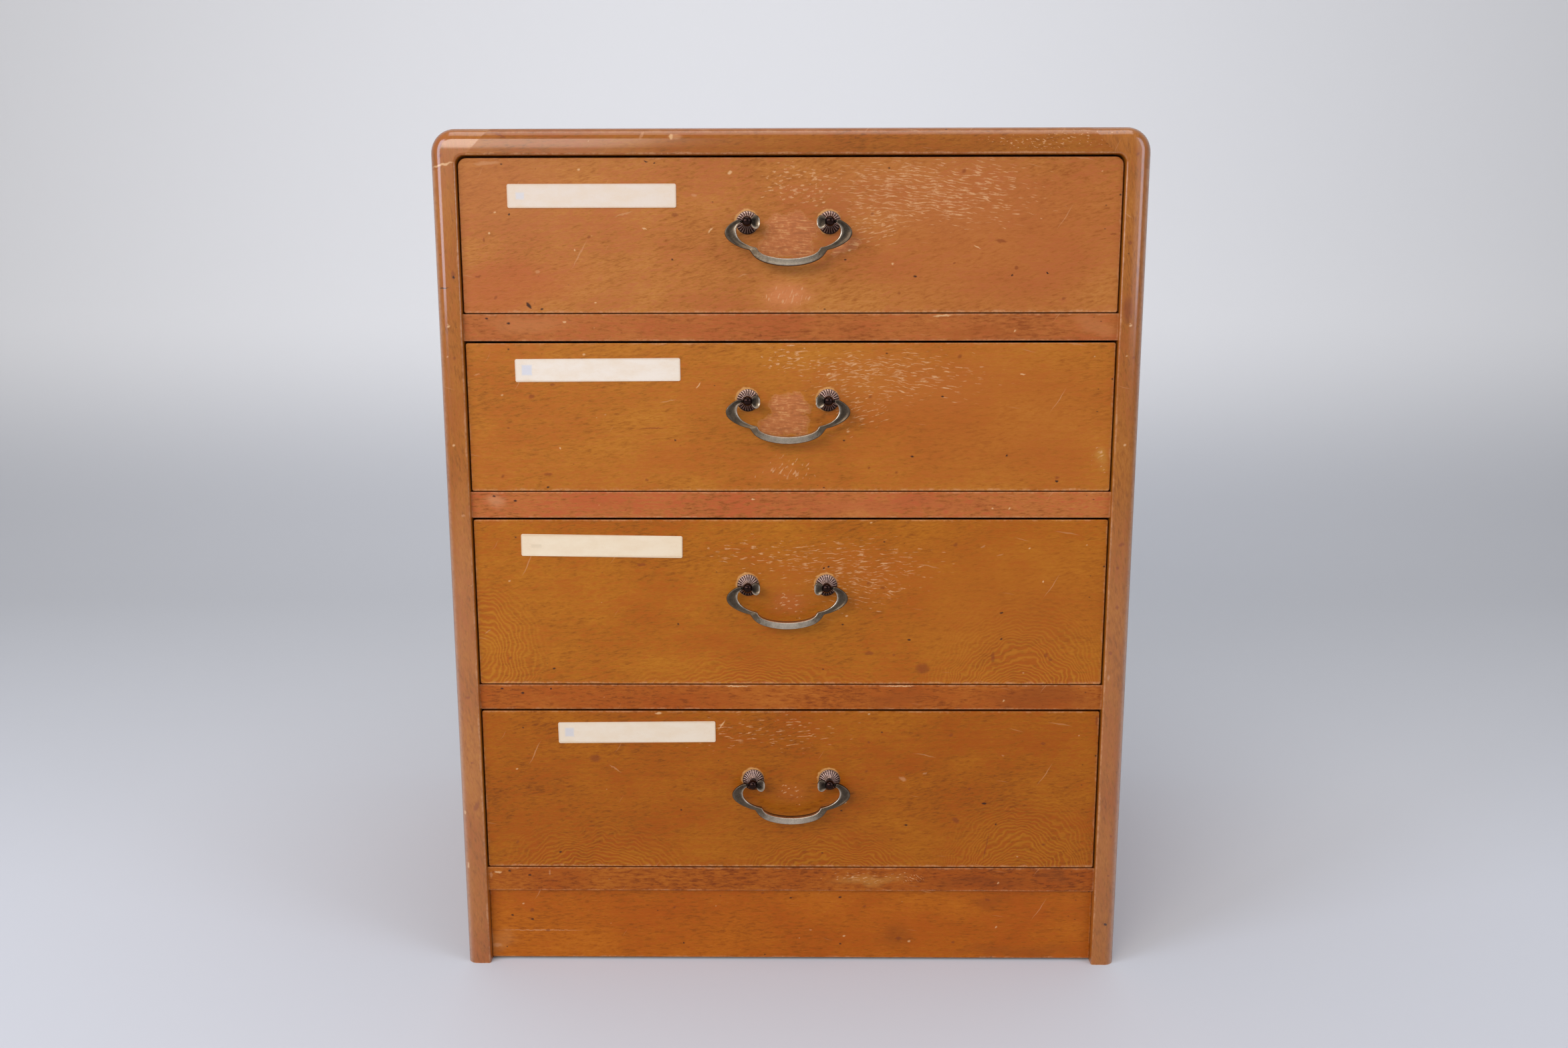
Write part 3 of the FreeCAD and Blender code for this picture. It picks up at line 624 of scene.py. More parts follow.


# Drawer fronts: the colours of each, its middle, and what hands and knocks have left on it; on drawers 1
# to 3 the first haze makes the right half darker and redder
drawerLooks = {
    1: {"deep": "#8f4d1c", "base": "#b26e2f", "light": "#c48642", "red": "#ac5a30", "redShare": 0.7,
        "fleckTurn": 18},
    2: {"deep": "#8e4d14", "base": "#b16b1e", "light": "#c2822d", "red": "#ab551c", "redShare": 0.65},
    3: {"deep": "#87470c", "base": "#ab6413", "light": "#be7b1e", "red": "#a54e10", "redShare": 0.7},
    4: {"deep": "#7c3c07", "base": "#a25a0a", "light": "#b57016", "red": "#9c4608", "redShare": 0.7},
}
drawerWear = {
    1: {
        "middle": (0, 411.5),
        "half": (173.3, 39.7),
        "hazes": ((112, -4, 96, 60, 0, "#ab5b2c"), (70, 19, 95, 30), (-150, 22, 50, 34),
                  (-3, -31, 19, 13, 0, "#cb7a4a"), (-1, -31, 16, 11, 0, "#cf8050"),
                  (-150, -28, 60, 18, 8, "#b0572c")),
        "hazeColour": "#ad6433",
        "rubs": ((-0.5, 2.5, 17, 11), (-1.5, -6.5, 18, 9), (31, -5, 8, 4, 20)),
        "scuffs": (
            (80, 22, 92, 30, -9, 4.4, 0.5, 1), (66, 22, 84, 30, -2, 5.5, 0.5, 0.95),
            (4, 26, 38, 18, 6, 2.4, 0.9, 1), (44, 5, 30, 18, 14, 3.2, 0.6, 0.95),
            (-2, -31, 24, 12, 76, 3.2, 1, 1.05),
        ),
        "marks": {
            "dark": ((-138.6, -36, 2.8, 1.1, -45), (-75.1, 37.4, 1.4, 0.5, -10),
                     (-70.6, 36.8, 0.7, 0.5), (-147.4, 10.9, 1, 0.7), (135.6, -19.6, 1.2, 0.5, -20)),
            "brown": ((-161.2, -2.1, 0.7, 1.6), (-60.3, 10.5, 2.6, 1.3), (-105.7, -0.7, 1.4, 0.8, 20),
                      (110.8, -3.1, 4, 1.1, -5), (119.3, -16.8, 1.4, 1.3), (169.3, 0.3, 2.5, 0.6),
                      (86.5, -14.4, 1, 0.8), (-165, -21, 2.2, 0.8, 15)),
            "pale": ((-158.2, 1.3, 0.9, 0.8), (-113.6, -7.2, 0.6, 0.6), (-31.4, 31.8, 1.6, 0.9, 20),
                     (-103.1, -34.8, 0.9, 0.5), (54.1, -14.8, 0.8, 0.8), (-76.5, 3.4, 2.1, 0.5, -20),
                     (-41.8, 2.7, 2.5, 0.5, 50), (98.3, -6.2, 2.5, 0.5, -30)),
            "faint": ((-133.4, -18.6, 1.6, 1.4), (-50, 20.3, 1.8, 1.1), (-110.9, -9.6, 9.8, 0.5, 60),
                      (-87.2, 10.9, 6.5, 0.6, 16), (-25.1, -20.6, 3.9, 0.4, 15),
                      (-158, 36.8, 9, 1.2, 4)),
        },
    },
    2: {
        "middle": (0, 316.2),
        "half": (173.3, 39.7),
        "hazes": ((112, 0, 96, 60, 0, "#a95820"), (55, 19, 75, 26), (168, -22, 7, 9, 0, "#b98a3c"),
                  (-8, -29, 18, 11, 0, "#b9672c")),
        "hazeColour": "#b2662a",
        "rubs": ((-0.5, 5.5, 13, 9), (-3.5, -5, 16, 9.5)),
        "scuffs": (
            (62, 22, 72, 24, -6, 4.2, 0.5, 0.95), (34, 24, 56, 18, 8, 4, 0.55, 0.92),
            (0, 31, 34, 13, 3, 2.6, 0.8, 0.95), (36, 4, 28, 18, 18, 3, 0.6, 0.9),
            (-1, -28, 28, 13, 62, 2.8, 1, 0.97), (167, -22, 9, 12, 30, 2.4, 0.7, 1),
        ),
        "marks": {
            "dark": ((81.6, 11.2, 1.3, 0.7), (144.3, -34.7, 1.1, 0.7, -10)),
            "brown": ((-138.9, 11.2, 2.2, 1.5, 10), (-131.3, -31, 3, 1.2), (-127.5, 17.5, 2, 1),
                      (-78, -34, 1.4, 1), (42.6, -27.4, 1, 0.8), (-152.1, -5.7, 1.2, 0.8),
                      (-75, -6, 9, 0.5, 2)),
            "pale": ((-124.3, -16.5, 0.7, 0.9, 20), (20.6, 22.9, 1.8, 0.6, 30),
                     (124.3, 22.9, 1.8, 0.5, -8), (-49.1, 17, 2.6, 0.5, 55)),
            "faint": ((-65.4, 8.7, 5.4, 0.4, 12), (-99.7, 1.5, 0.8, 0.6), (-168, 22.9, 2.1, 0.5, 10)),
        },
    },
    3: {
        "middle": (0, 214.2),
        "half": (173.3, 46.4),
        "hazes": ((116, 6, 96, 60, 0, "#a65816"), (21, 15, 66, 24), (-1.6, -2, 13, 11, 0, "#b4602e")),
        "hazeColour": "#ad5f1b",
        "scuffs": (
            (34, 22, 78, 24, 3, 4.4, 0.5, 0.88), (-20, 26, 50, 16, -3, 3.4, 0.65, 0.84),
            (40, 8, 50, 20, -10, 3.6, 0.55, 0.82), (-1, -2, 15, 13, 20, 2.2, 0.8, 0.95),
        ),
        "figures": ((128, -60, 62, 74, 0, 34), (-176, -30, 46, 50, 0, 20), (-20, -66, 90, 42, 0, 20)),
        "marks": {
            "dark": ((21.2, 20, 0.9, 0.7), (18.3, 19.2, 0.7, 0.6), (116.7, -6, 1.3, 0.6)),
            "brown": ((-81.6, 21.1, 2.9, 1.3), (73.7, -37.7, 5, 4), (112.6, -31.2, 1.5, 4),
                      (50.7, 8, 1.8, 0.8), (44, -29, 3.4, 1.6), (142, -30, 1.4, 2)),
            "pale": ((131, 30.4, 0.7, 0.6), (139, 11.7, 0.7, 0.7)),
            "faint": ((115, 26.7, 2.2, 0.5, 18), (105.4, 31.2, 1.8, 0.5, 25),
                      (-168, -16.7, 2.6, 0.5, 30)),
        },
    },
    4: {
        "middle": (0, 105.5),
        "half": (173.3, 46.4),
        "hazes": ((0, -4, 11, 9, 0, "#ad5a22"),),
        "scuffs": ((-20, 34, 90, 20, 4, 4, 0.55, 0.74), (0, -3, 12, 10, 30, 2, 0.8, 0.9)),
        "figures": ((132, -58, 56, 66, 0, 30), (-112, -64, 74, 50, 0, 24), (24, -60, 66, 44, 0, 22)),
        "marks": {
            "dark": ((110.1, -8.4, 1.9, 0.8, -5),),
            "brown": ((-110.3, 18.3, 4, 2.8), (142.3, 27.4, 1.7, 1.1), (94.3, -18.4, 3, 2, -35),
                      (101.5, 0.4, 1.1, 1.1), (111.9, -33.8, 12, 0.4, 80), (44.3, 28.1, 1.2, 0.9),
                      (171.8, 41, 1.1, 3.8)),
            "pale": ((-38.4, 38, 4.1, 0.6, 55), (-73.9, 45, 2.6, 0.7, 5)),
            "faint": ((63.5, 6.4, 3, 1.5, -20), (76.3, 9.6, 1.9, 0.7, 25),
                      (-99.2, 12.3, 4.9, 0.5, -35), (119.9, 20.3, 0.9, 0.7)),
        },
    },
}

# Handles: where each drawer's hinge line sits, and how far its posts stand from its middle
handle = {
    "middles": {1: (-0.8, 417.9), 2: (-1.1, 325.3), 3: (-1.6, 224.0), 4: (0.6, 111.5)},
    "halfPitch": 21.5,
    "facePlane": -143.425,  # of the drawer fronts
    "reach": 8,  # from a drawer front to the hinge line
    "rosetteRadius": 6,
}
faceBack = -131.5  # drawer fronts were stained as far back as this


def haloPatches(number):  # a pale ring round each rosette, shifted up and to the left
    across, high = handle["middles"][number]
    middle = drawerWear[number]["middle"]
    radius = handle["rosetteRadius"] + 0.9
    return [(across + side * handle["halfPitch"] - 0.4, high - middle[1] + 0.5, radius, radius)
            for side in (-1, 1)]


materials = {}  # by the name of the node
for number in drawerNumbers:
    wear = {**drawerWear[number], "halos": haloPatches(number), "paintedGapShade": 0.7}
    materials[f"drawer_{number}_front"] = woodMaterial(
        f"stainedDrawerFront{number}", [wear], inside=(("Y", faceBack, 1),),
        shift=(number * 431, number * 57, number * 211), ringShift=(0, 150 + number * 12, 20),
        **drawerLooks[number])
print("drawer fronts finished")

# Case boards
caseInner = 174.2  # half the width between the sides
stainDepth = -139.0  # inside the case the boards are bare behind this
topUnderside = 452.2  # and the top board below this
stile = {"middle": 180.5, "high": 233, "halfWide": 6.3}  # the front edge of a side
sideLook = {
    "grain": "z",
    "deep": "#824710",
    "base": "#a66119",
    "light": "#b87829",
    "red": "#9e501a",
    "roughness": 0.34,
    "gloss": 0.1,
    "coat": 0.9,
    "coatRoughness": 0.15,
    "coatIOR": 1.65,
    "crowned": True,
}
sideMarks = {
    "left": {
        "dark": ((-177.2, 390, 0.7, 1.4), (-183, 384.5, 4, 0.35)),
        "brown": ((-177.4, 391, 1.6, 3.4), (-178, 96, 2, 4.2, -20), (-180, 160, 1.4, 1.2),
                  (-179.5, 122, 1, 0.8)),
        "pale": ((-180.5, 447.2, 7.5, 0.8, 13), (-185, 92, 1, 1.4), (-184.5, 60, 0.9, 2.4)),
        "faint": ((-178, 263, 1.6, 1),),
    },
    "right": {
        "dark": ((181, 25, 1.2, 1.2),),
        "brown": ((177.5, 407, 1.3, 1.8), (180.5, 247, 2.4, 1.4, 20), (179.5, 212, 1.2, 1.6),
                  (178.8, 234, 1.2, 1), (177, 186, 1.4, 1.6), (181.5, 55, 1, 0.8), (182, 79, 0.9, 1.1),
                  (178, 373, 3.4, 9)),
        "faint": ((176.5, 172, 0.8, 2.4), (176, 421, 2.4, 0.4, -35)),
    },
}
for name, way in (("left", -1), ("right", 1)):
    across, high = way * stile["middle"], stile["high"]
    wears = [
        {"middle": (across, high), "half": (stile["halfWide"], high), "edgeReach": 1.4, "edgeShare": 0.5,
         "marks": {kind: [(mark[0] - across, mark[1] - high, *mark[2:]) for mark in marks]
                   for kind, marks in sideMarks[name].items()}},
        {"plane": name, "middle": (-4, 226), "half": (148, 226), "edgeReach": 3, "edgeShare": 0.4,
         "speckShare": 0.01, "scratchShare": 0.012, "hazes": ((-60, 60, 120, 90, 20, "#b57a48"),)},
    ]
    blockWears = [{**wear, "edgeShare": 0.15, "arrisShare": 0} for wear in wears]
    inside = (("X", way * caseInner, -way), ("Y", stainDepth, 1), ("Z", topUnderside, -1))
    materials[f"{name}_side"] = woodMaterial(
        f"stained_{name}_side", wears, inside=inside, shift=(90, way * 300, 20), **sideLook)
    materials[f"{name}_corner_block"] = woodMaterial(
        f"stained_{name}_corner_block", blockWears, inside=inside, shift=(240, way * 80, 50), **sideLook)
topWears = [
    {"middle": (0, 459), "half": (200, 6.6), "edgeReach": 1.4, "edgeShare": 0.5,
     "scuffs": ((130, -1, 60, 7, -10, 1.4, 0.5, 0.85),),
     "marks": {
         "brown": ((34, 1.5, 0.8, 0.9), (-150, 3, 5, 1, -30)),
         "pale": ((-61.5, 2, 1.4, 1.7),),
         "faint": ((-59.3, 2, 4.8, 1.7), (-76.6, 2.8, 2.6, 1.2, 60)),
     }},
    {"plane": "top", "middle": (0, 4), "half": (200, 149), "edgeReach": 3, "edgeShare": 0.4,
     "speckShare": 0.012, "scratchShare": 0.02,
     "hazes": ((-40, -50, 150, 60, 10, "#b57c4b"), (90, 40, 90, 70, 0, "#9a5524"))},
]
topLook = {
    "deep": "#773e0b",
    "base": "#9a5714",
    "light": "#ac6e22",
    "red": "#974815",
    "gloss": 0.1,
    "coat": 0.65,
    "coatRoughness": 0.17,
    "coatIOR": 1.55,
    "crowned": True,
}
materials["top_board"] = woodMaterial("stainedTop", topWears, shift=(700, 20, 60), **topLook,
                                      inside=(("Z", topUnderside, -1), ("Y", stainDepth, 1)))
railLooks = {
    "rail_1": {"deep": "#8a451b", "base": "#ab622b", "light": "#bd7639", "red": "#a84f28",
               "contrast": 1.1},
    "rail_2": {"deep": "#8f4a1e", "base": "#b2682f", "light": "#c27c3e", "red": "#b3532c",
               "redShare": 0.8, "contrast": 1.15},
    "rail_3": {"deep": "#7f3b0c", "base": "#a55717", "light": "#b66c24", "red": "#9e450f",
               "contrast": 1.3},
    "bottom_board": {"deep": "#78360a", "base": "#a05312", "light": "#b56c1f", "red": "#9a440c",
                     "contrast": 1.35},
    "plinth_board": {"deep": "#8c4508", "base": "#b05e0d", "light": "#c0711a", "red": "#a54a0b"},
}
railWear = {
    "rail_1": {
        "hazes": ((-140, 2, 32, 7, 0, "#bd7844"), (163, 1, 16, 7, 0, "#b87444"),
                  (100, -3, 40, 5, 0, "#9c5220")),
        "marks": {
            "brown": ((-15.7, -4, 1, 1),),
            "pale": ((80.7, 6, 6, 0.7, 4), (-120, 3, 1.4, 0.8)),
        },
    },
    "rail_2": {
        "hazes": ((-162, 1, 9, 6, 0, "#d09468"), (50, 0, 80, 6, 0, "#b05a32")),
        "marks": {"pale": ((-20, 3, 1, 0.7), (110, -2, 0.8, 0.6))},
    },
    "rail_3": {
        "hazes": ((140, 0, 46, 10, 0, "#7d3a10"), (60, -2, 30, 8, 0, "#8f4814")),
        "marks": {
            "dark": ((-134, 4.6, 0.8, 0.8),),
            "pale": ((-30, 6.3, 9, 0.5), (60, 6.4, 12, 0.5)),
        },
    },
    "bottom_board": {
        "hazes": ((110, -1, 38, 6, 0, "#7a3c12"), (45, 0, 28, 5, 0, "#b9803a"),
                  (152, 0, 14, 6, 0, "#8a4818")),
        "scuffs": ((44, 2, 40, 6, 6, 2.2, 0.5, 0.95), (72, -2, 14, 5, -40, 1.6, 0.5, 1)),
        "marks": {
            "brown": ((20, 4, 1.6, 0.8),),
            "pale": ((-168, 4, 2.6, 0.9),),
            "faint": ((-172, 2.4, 1.1, 2.2), (-138.4, 4, 0.8, 2.4)),
        },
    },
    "plinth_board": {
        "hazes": ((60, -8, 15, 10, 0, "#84420e"), (115, 14, 14, 5, 0, "#8a4510"),
                  (-170, -12, 16, 9, 0, "#bb763a"), (130, -18, 50, 6, 0, "#8f4a14")),
        "marks": {
            "brown": ((-149.9, 8, 1.6, 1.6), (-141, -4.6, 1.6, 1.2), (63, -9, 2.2, 1.4),
                      (114, 15, 2, 1)),
            "faint": ((-145, -4.6, 30, 0.5), (-171, -14, 4, 1.6), (12, -4, 1.2, 0.8)),
        },
    },
}
for seed, (name, look) in enumerate(railLooks.items(), 1):
    low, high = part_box(name)
    wear = {**railWear[name], "middle": (0, (low.z + high.z) / 2 / mm),
            "half": (caseInner, (high.z - low.z) / 2 / mm), "edgeReach": 1.6, "speckShare": 0.012,
            "arrisShare": 0.28, "paintedGapShade": 0.6}
    materials[name] = woodMaterial(f"stained_{name}", [wear], inside=(("Y", stainDepth, 1),),
                                   shift=(seed * 517, 40, seed * 97), ringShift=(0, 120, seed * 9),
                                   fleckTurn=3, fleckShare=1.35, **look)
# Planed wood and thin plywood that never had a finish
bare = woodMaterial("planedBareWood", grain="y", roughness=0.6, **bareLook)
bareAcross = woodMaterial("planedBareWoodAcross", shift=(60, 20, 90), roughness=0.6, **bareLook)
plyLook = {**bareLook, "base": "#b98f58", "light": "#c8a26a"}
plywood = woodMaterial("thinPlywood", roughness=0.62, **plyLook)
print("case boards finished")


# Pieces, each in place of the CAD node that it stands for
bodies = frame["record"]["behaviour"]["bodies"]
nodeBodies = {node: body for body, nodes in bodies.items() for node in nodes}


def addPiece(name, made, material, node, levels=0, smooth=True):
    bmesh.ops.recalc_face_normals(made, faces=made.faces)
    piece = addMesh(name, made, material, smooth)
    if levels:
        rounding = piece.modifiers.new("rounding", "SUBSURF")
        rounding.levels = rounding.render_levels = levels
    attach(piece, nodeBodies[node])
    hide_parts(node)
    return piece


# A board as the plane left it has sharp edges; years of use have softened them.
def easedBoard(node, material, radius=0.45):
    eased = bmesh.new()
    eased.from_mesh(frame["nodes"][node].data)
    bmesh.ops.remove_doubles(eased, verts=eased.verts, dist=0.01 * mm)
    bmesh.ops.dissolve_limit(eased, angle_limit=math.radians(1), verts=eased.verts, edges=eased.edges)
    sharp = [edge for edge in eased.edges
             if edge.is_manifold and edge.calc_face_angle() > math.radians(50)]
    bmesh.ops.bevel(eased, geom=sharp, offset=radius * mm, offset_type="OFFSET", segments=2, profile=0.5,
                    affect="EDGES", material=-1, clamp_overlap=True)
    return addPiece(f"{node}_eased", eased, material, node, smooth=False)


for name in railLooks:
    easedBoard(name, materials[name])
for name in nodeBodies:
    if name.startswith("runner") or name.endswith(("left", "right")) and name.startswith("drawer"):
        easedBoard(name, bare)
    elif name.endswith("back") and name.startswith("drawer") or name == "rear_plinth":
        easedBoard(name, bareAcross)
    elif name.endswith("bottom") or name == "back_panel":
        easedBoard(name, plywood)
print("boards eased")


# Metal: cast brass gone dark, with paler metal on the rims that fingers rub bright; on the rosettes the
# same brightness also carries painted light on their upper half and painted shade on their lower half
def metalMaterial(name, dark, mid, bright, roughness, grimeAndShade=0.5):
    material, tree, shader = newMaterial(name, Metallic=1.0)
    place = mapped(tree, objectPlace(tree), Scale=toMillimetres)
    cloud = noiseAt(tree, place, (0.28, 0.28, 0.28), 5.0, 0.65)
    pits = noiseAt(tree, place, (1.6, 1.6, 1.6), 3.0, 0.6)
    rub = addNode(tree, "Attribute", attribute_name="rub").outputs["Fac"]
    share = weighed(tree, cloud, grimeAndShade, mathValue(tree, "SUBTRACT", rub, grimeAndShade / 2))
    share = weighed(tree, pits, 0.3, mathValue(tree, "SUBTRACT", share, 0.15))
    colour = ramped(tree, share, ((0.05, dark), (0.45, mid), (0.95, bright)))
    rough = rangedValue(tree, share, 0.0, 1.0, roughness + 0.12, roughness - 0.06)
    bump = addNode(tree, "Bump", {"Strength": 0.25, "Distance": 0.0001, "Height": pits}).outputs[0]
    joinShader(tree, shader, Base_Color=colour, Roughness=rough, Normal=bump)
    return material


# The bails: cast brass gone brown, with its rims rubbed bright
castBrass = metalMaterial("agedCastBrass", "#2c2520", "#6c5f50", "#d8cab6", 0.34)
# The rosettes: pressed brass with a reddish wear
rosetteBrass = metalMaterial("agedPressedBrass", "#2a1c19", "#5c443b", "#b39484", 0.34)
# The posts: turned bronze, smooth and nearly black
postBronze = metalMaterial("darkTurnedBronze", "#170f0e", "#33231f", "#5c4740", 0.14, 0.3)
# The nuts: plain steel gone dull
nutSteel = metalMaterial("dullSteel", "#5e5d5a", "#8f8d88", "#b5b3ad", 0.36)

# One half of a bail, from the middle of the grip to the end of the leaf: each station has
# the inner edge and the outer edge as places across and below the hinge line, the depth
# from front to back, how far the front is hollowed, and how bright its face is.
bailStations = (
    ((0, 18.9), (0, 22.95), 4.6, 0.1, 0.8),
    ((4.5, 18.7), (4.4, 22.75), 4.6, 0.1, 0.78),
    ((8.4, 18.1), (9.1, 22), 4.5, 0.1, 0.7),
    ((12, 17.2), (13.8, 20.7), 4.3, 0.1, 0.6),
    ((14.6, 15.9), (17.4, 18.6), 4, 0.1, 0.5),
    ((15.8, 14.6), (19.1, 16.5), 3.5, 0.05, 0.4),
    ((16.2, 13.5), (20, 15), 3.2, 0, 0.4),
    ((17, 13.2), (20.5, 14.5), 2.8, 0, 0.4),
    ((18.9, 12.9), (22.1, 14.2), 2.5, 0, 0.35),
    ((21.3, 12), (24.3, 13.6), 2.2, 0.1, 0.35),
    ((24, 10.5), (27.5, 12.2), 2, 0.3, 0.3),
    ((26, 8.5), (30.5, 10.4), 2, 0.5, 0.27),
    ((26.9, 6.6), (32.7, 8.1), 2, 0.55, 0.25),
    ((27.1, 4.8), (33.3, 5.7), 2, 0.55, 0.25),
    ((26.7, 3.2), (32.6, 3.7), 2, 0.5, 0.25),
    ((26, 2), (31, 1.9), 2.1, 0.4, 0.2),
    ((25.4, 1.6), (29, 0.4), 2.2, 0.2, 0.2),
    ((24.9, 1.2), (26.8, -0.7), 2.3, 0.05, 0.2),
    ((24.5, 1.2), (24.8, -1), 2.3, 0, 0.2),
)
# The paddle on the inner end of the pin: lower edge, upper edge, depth, hollow, brightness
paddleStations = (
    ((19.4, 2.4), (19.4, -1.8), 2.2, 0.1, 0),
    ((18.3, 3.6), (18.3, -2.7), 2.1, 0.5, 0.1),
    ((17.2, 4.2), (17.2, -3.2), 2, 0.7, 0.15),
    ((16.1, 4), (16.1, -3), 2, 0.6, 0.3),
    ((15.2, 3.2), (15.2, -2.2), 1.8, 0.3, 0.7),
    ((14.7, 1.9), (14.7, -0.9), 1.4, 0.1, 1),
)
# The section of both: from the inner to the outer edge, from front to back, how far it
# goes into the hollow, and how bright it is rubbed beside the brightness of the face.
handleSection = (
    (-1, -0.35, 0, 0.7), (-0.93, -0.85, 0, 0.9), (-0.74, -1, 0, 0.75), (-0.45, -1, 0.85, 0.1),
    (0, -1, 1, 0), (0.45, -1, 0.85, 0.05), (0.74, -1, 0, 0.5), (0.93, -0.85, 0, 0.35),
    (1, -0.35, 0, 0), (1, 0.35, 0, 0), (0.9, 0.85, 0, 0), (0.6, 1, 0, 0),
    (0, 1, 0, 0), (-0.6, 1, 0, 0), (-0.9, 0.85, 0, 0), (-1, 0.35, 0, 0.2),
)
pinRadius = 1.1


def addSpar(made, stations):  # a bar through stations, with a closed section
    rub = made.verts.layers.float["rub"]
    around = len(handleSection)
    grid = bmesh.ops.create_grid(made, x_segments=around, y_segments=len(stations) - 1, size=1)["verts"]
    for index, vert in enumerate(grid):
        (innerX, innerDown), (outerX, outerDown), depth, hollow, bright = stations[index // (around + 1)]
        across, deep, dished, rubbed = handleSection[index % (around + 1) % around]
        share = (across + 1) / 2
        vert.co = (innerX + (outerX - innerX) * share, deep * depth / 2 + dished * hollow,
                   -innerDown - (outerDown - innerDown) * share)
        vert[rub] = max(rubbed * (1 - bright), bright) if deep < -0.9 else rubbed
    bmesh.ops.remove_doubles(made, verts=grid, dist=0.0001)


def hang(made, number, reach=0):  # brings a handle's piece from its own millimetres to its drawer
    across, high = handle["middles"][number]
    bmesh.ops.translate(made, verts=made.verts, vec=(across, handle["facePlane"] - reach, high))
    bmesh.ops.scale(made, verts=made.verts, vec=(mm, mm, mm))


def makeBail(number):
    bail = bmesh.new()
    bail.verts.layers.float.new("rub")
    addSpar(bail, bailStations)
    addSpar(bail, paddleStations)
    inner, outer = paddleStations[1][0][0], bailStations[-3][0][0]
    middle = Matrix.Translation(((inner + outer) / 2, 0, 0))
    pinPlace = middle @ Matrix.Rotation(math.radians(90), 4, "Y")
    bmesh.ops.create_cone(bail, cap_ends=True, segments=16, radius1=pinRadius, radius2=pinRadius,
                          depth=outer - inner, matrix=pinPlace)
    half = bail.verts[:] + bail.edges[:] + bail.faces[:]
    bmesh.ops.mirror(bail, geom=half, axis="X", merge_dist=0.0001)
    bmesh.ops.holes_fill(bail, edges=bail.edges)
    hang(bail, number, handle["reach"])
    addPiece(f"bail_{number}_cast", bail, castBrass, f"bail_{number}", levels=2)


# Turned pieces: profiles as radius and height above the drawer front
postProfile = ((0, -17.4), (1.3, -17.4), (1.5, -17.1), (1.5, 2.9), (1.9, 3.0), (1.9, 5.4), (1.95, 6.0),
               (2.2, 6.5))
ball = {"radius": 2.65, "height": 8, "from": -34, "steps": 12}
rosetteProfile = ((1.55, 0), (5.8, 0), (6, 0.15), (6, 0.65), (5.85, 0.85), (5.3, 0.95), (5.0, 0.98),
                  (4.6, 1.35), (4.0, 1.85), (3.3, 2.35), (2.6, 2.7), (2.1, 2.9), (1.9, 3.0), (1.55, 3.0))
flutes = {"count": 24, "steps": 6, "depth": 0.32, "inner": 2.0, "outer": 5.6, "paintedLightFromAbove": 0.3}


def ballProfile():
    points = []
    for step in range(ball["steps"] + 1):
        turn = math.radians(ball["from"] + (90 - ball["from"]) * step / ball["steps"])
        radius = ball["radius"] * math.cos(turn)
        points.append((radius, ball["height"] + ball["radius"] * math.sin(turn)))
    return points


def turned(profile, steps):  # spun about the Y axis, standing out of the face towards -Y
    made = bmesh.new()
    made.verts.layers.float.new("rub")
    points = [made.verts.new((max(radius, 0), -high, 0)) for radius, high in profile]
    edges = [made.edges.new(pair) for pair in zip(points, points[1:])]
    bmesh.ops.spin(made, geom=points + edges, cent=(0, 0, 0), axis=(0, 1, 0), dvec=(0, 0, 0),
                   angle=math.radians(360), steps=steps, use_merge=True, use_duplicate=False)
    bmesh.ops.remove_doubles(made, verts=made.verts, dist=0.001)
    return made


def addPair(kind, made, material, number):  # one at each end of the hinge line
    first = made.verts[:] + made.edges[:] + made.faces[:]
    again = bmesh.ops.duplicate(made, geom=first)["geom"]
    for parts, side in ((first, -1), (again, 1)):
        verts = [part for part in parts if isinstance(part, bmesh.types.BMVert)]
        bmesh.ops.translate(made, verts=verts, vec=(side * handle["halfPitch"], 0, 0))
    hang(made, number)
    addPiece(f"{kind}_{number}_turned", made, material, f"{kind}_{number}")


def makePosts(number):
    posts = turned([*postProfile, *ballProfile()], 40)
    rub = posts.verts.layers.float["rub"]
    for vert in posts.verts:
        vert[rub] = 0.35 if -vert.co.y > ball["height"] else 0.1
    addPair("posts", posts, postBronze, number)


def makeRosettes(number):
    rosettes = turned(rosetteProfile, flutes["count"] * flutes["steps"])
    rub = rosettes.verts.layers.float["rub"]
    for vert in rosettes.verts:
        radius = math.hypot(vert.co.x, vert.co.z)
        if flutes["inner"] < radius < flutes["outer"] and -vert.co.y > 0.8:
            wave = 0.5 - 0.5 * math.cos(flutes["count"] * math.atan2(vert.co.z, vert.co.x))
            vert.co.y += flutes["depth"] * wave
            vert[rub] = 0.9 * (1 - wave)
        else:
            vert[rub] = 0.45
        # painted light and shade: the upper half of each rosette is made brighter and the lower half
        # darker, as if lit from above
        vert[rub] += flutes["paintedLightFromAbove"] * vert.co.z / handle["rosetteRadius"]
    addPair("rosettes", rosettes, rosetteBrass, number)


for number in drawerNumbers:
    makeBail(number)
    makePosts(number)
    makeRosettes(number)
    materials[f"nuts_{number}"] = nutSteel
print("handles made")

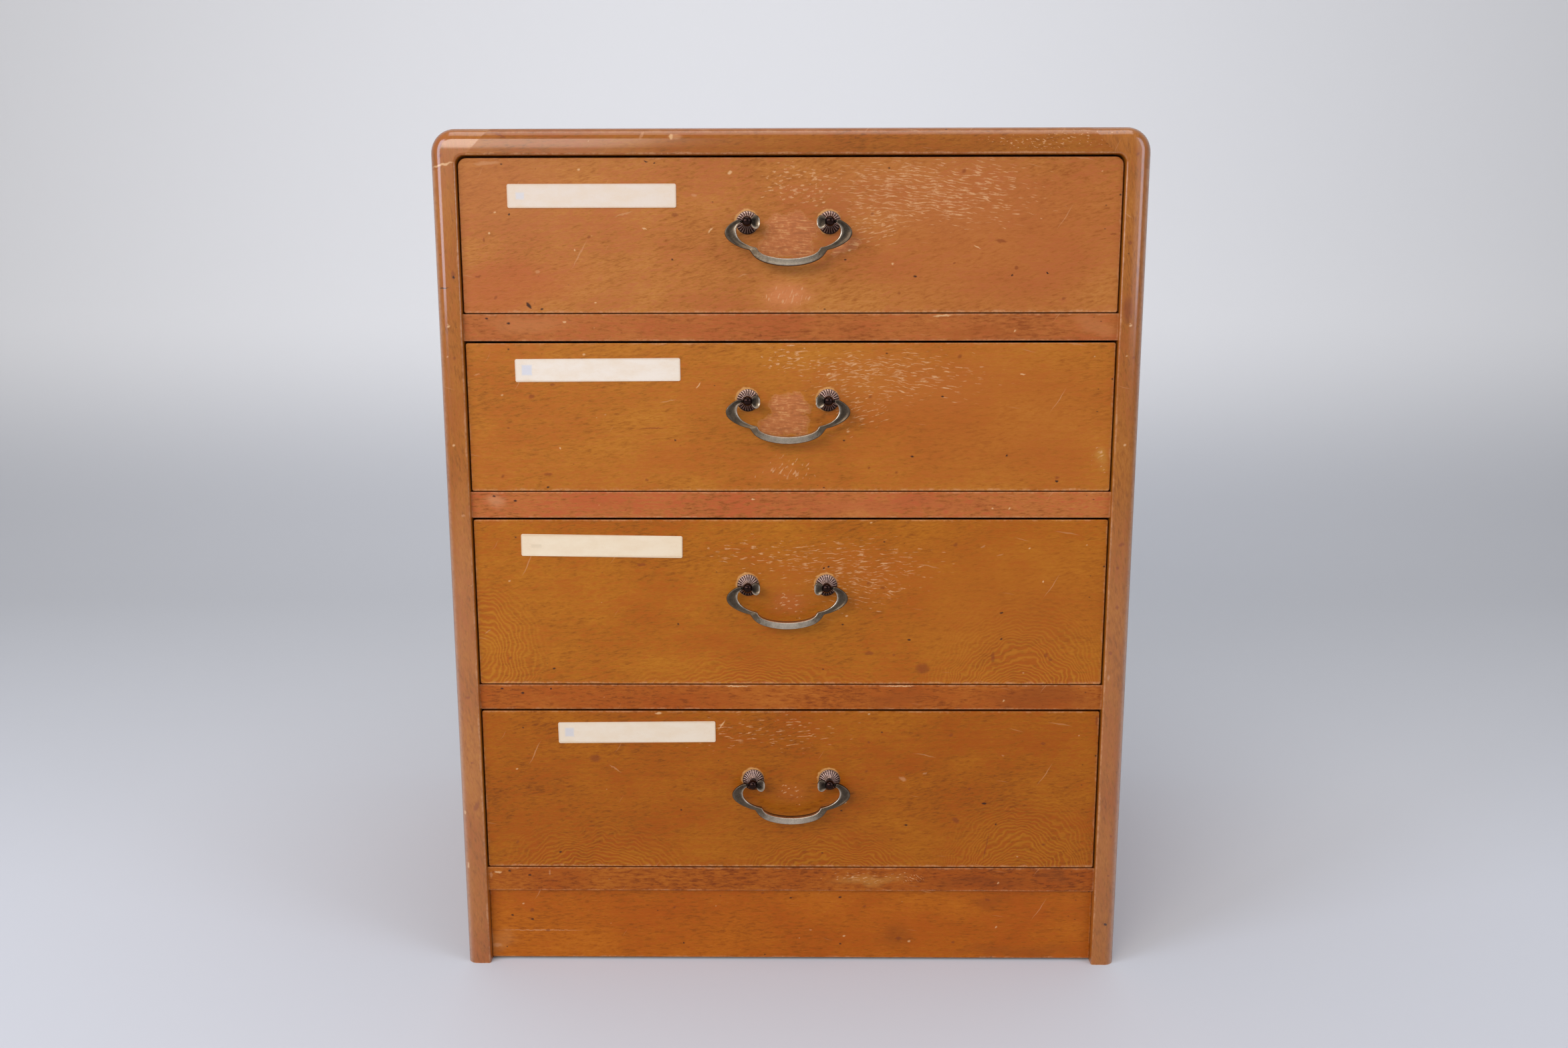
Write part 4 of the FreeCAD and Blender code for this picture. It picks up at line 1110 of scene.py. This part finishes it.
# Labels: old cream paper pasted on, browned at the edges, with a faded square near the left end
labels = {
    1: {"paper": "#e0d0bf", "smudge": (-37.5, 0, 2.4, 2.0), "smudgeColour": "#c9d0dc", "share": 0.5},
    2: {"paper": "#e8dbcb", "smudge": (-38, 0, 2.9, 2.9), "smudgeColour": "#c3cbdc", "share": 0.6},
    3: {"paper": "#e8d5b8", "smudge": (-36, 0, 3.0, 1.2), "smudgeColour": "#cdb99a", "share": 0.35},
    4: {"paper": "#e4d4be", "smudge": (-38, 0, 2.7, 2.7), "smudgeColour": "#bcc3d2", "share": 0.55},
}
labelSize = (88.5, 12.2)


def labelMaterial(number):
    label = labels[number]
    material, tree, shader = newMaterial(f"labelPaper{number}", Roughness=0.75, Specular_IOR_Level=0.25)
    low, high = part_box(f"label_{number}")
    middle = (low + high) / 2 / mm
    place = facePlace(tree, (middle.x, middle.z))
    shaken = wavered(tree, place, 0.5, 0.6)
    cloud = noiseAt(tree, place, (0.07, 0.16, 1), 5.0, 0.65)
    fibres = noiseAt(tree, place, (1.6, 2.6, 1), 3.0)
    stain = rangedValue(tree, cloud, 0.4, 0.72, 0.0, 0.4)
    colour = blended(tree, stain, linearColour(label["paper"]), "#dcbf98")
    speck = rangedValue(tree, fibres, 0.62, 0.78, 0.0, 0.35)
    colour = blended(tree, speck, colour, "#cda77c")
    across, up, halfWide, halfTall = label["smudge"]
    apart = parted(tree, shaken)
    away = []
    for socket, centre, half in ((apart[0], across, halfWide), (apart[1], up, halfTall)):
        offset = mathValue(tree, "SUBTRACT", socket, centre)
        offset = mathValue(tree, "ABSOLUTE", offset)
        away.append(mathValue(tree, "SUBTRACT", offset, half))
    square = rangedValue(tree, joined(tree, away), 0.2, -0.7)
    colour = blended(tree, square, colour, label["smudgeColour"], label["share"])
    edge = edgeMask(tree, shaken, (labelSize[0] / 2, labelSize[1] / 2), 1.2)
    colour = blended(tree, edge, colour, "#c79a68", 0.35)
    bump = addNode(tree, "Bump", {"Strength": 0.2, "Distance": 0.0001, "Height": fibres}).outputs[0]
    joinShader(tree, shader, Base_Color=colour, Normal=bump)
    return material


for number in drawerNumbers:
    easedBoard(f"label_{number}", labelMaterial(number), 0.08)
print("labels made")

for name, node in frame["nodes"].items():
    node.data.materials.clear()
    node.data.materials.append(materials.get(name, bare))
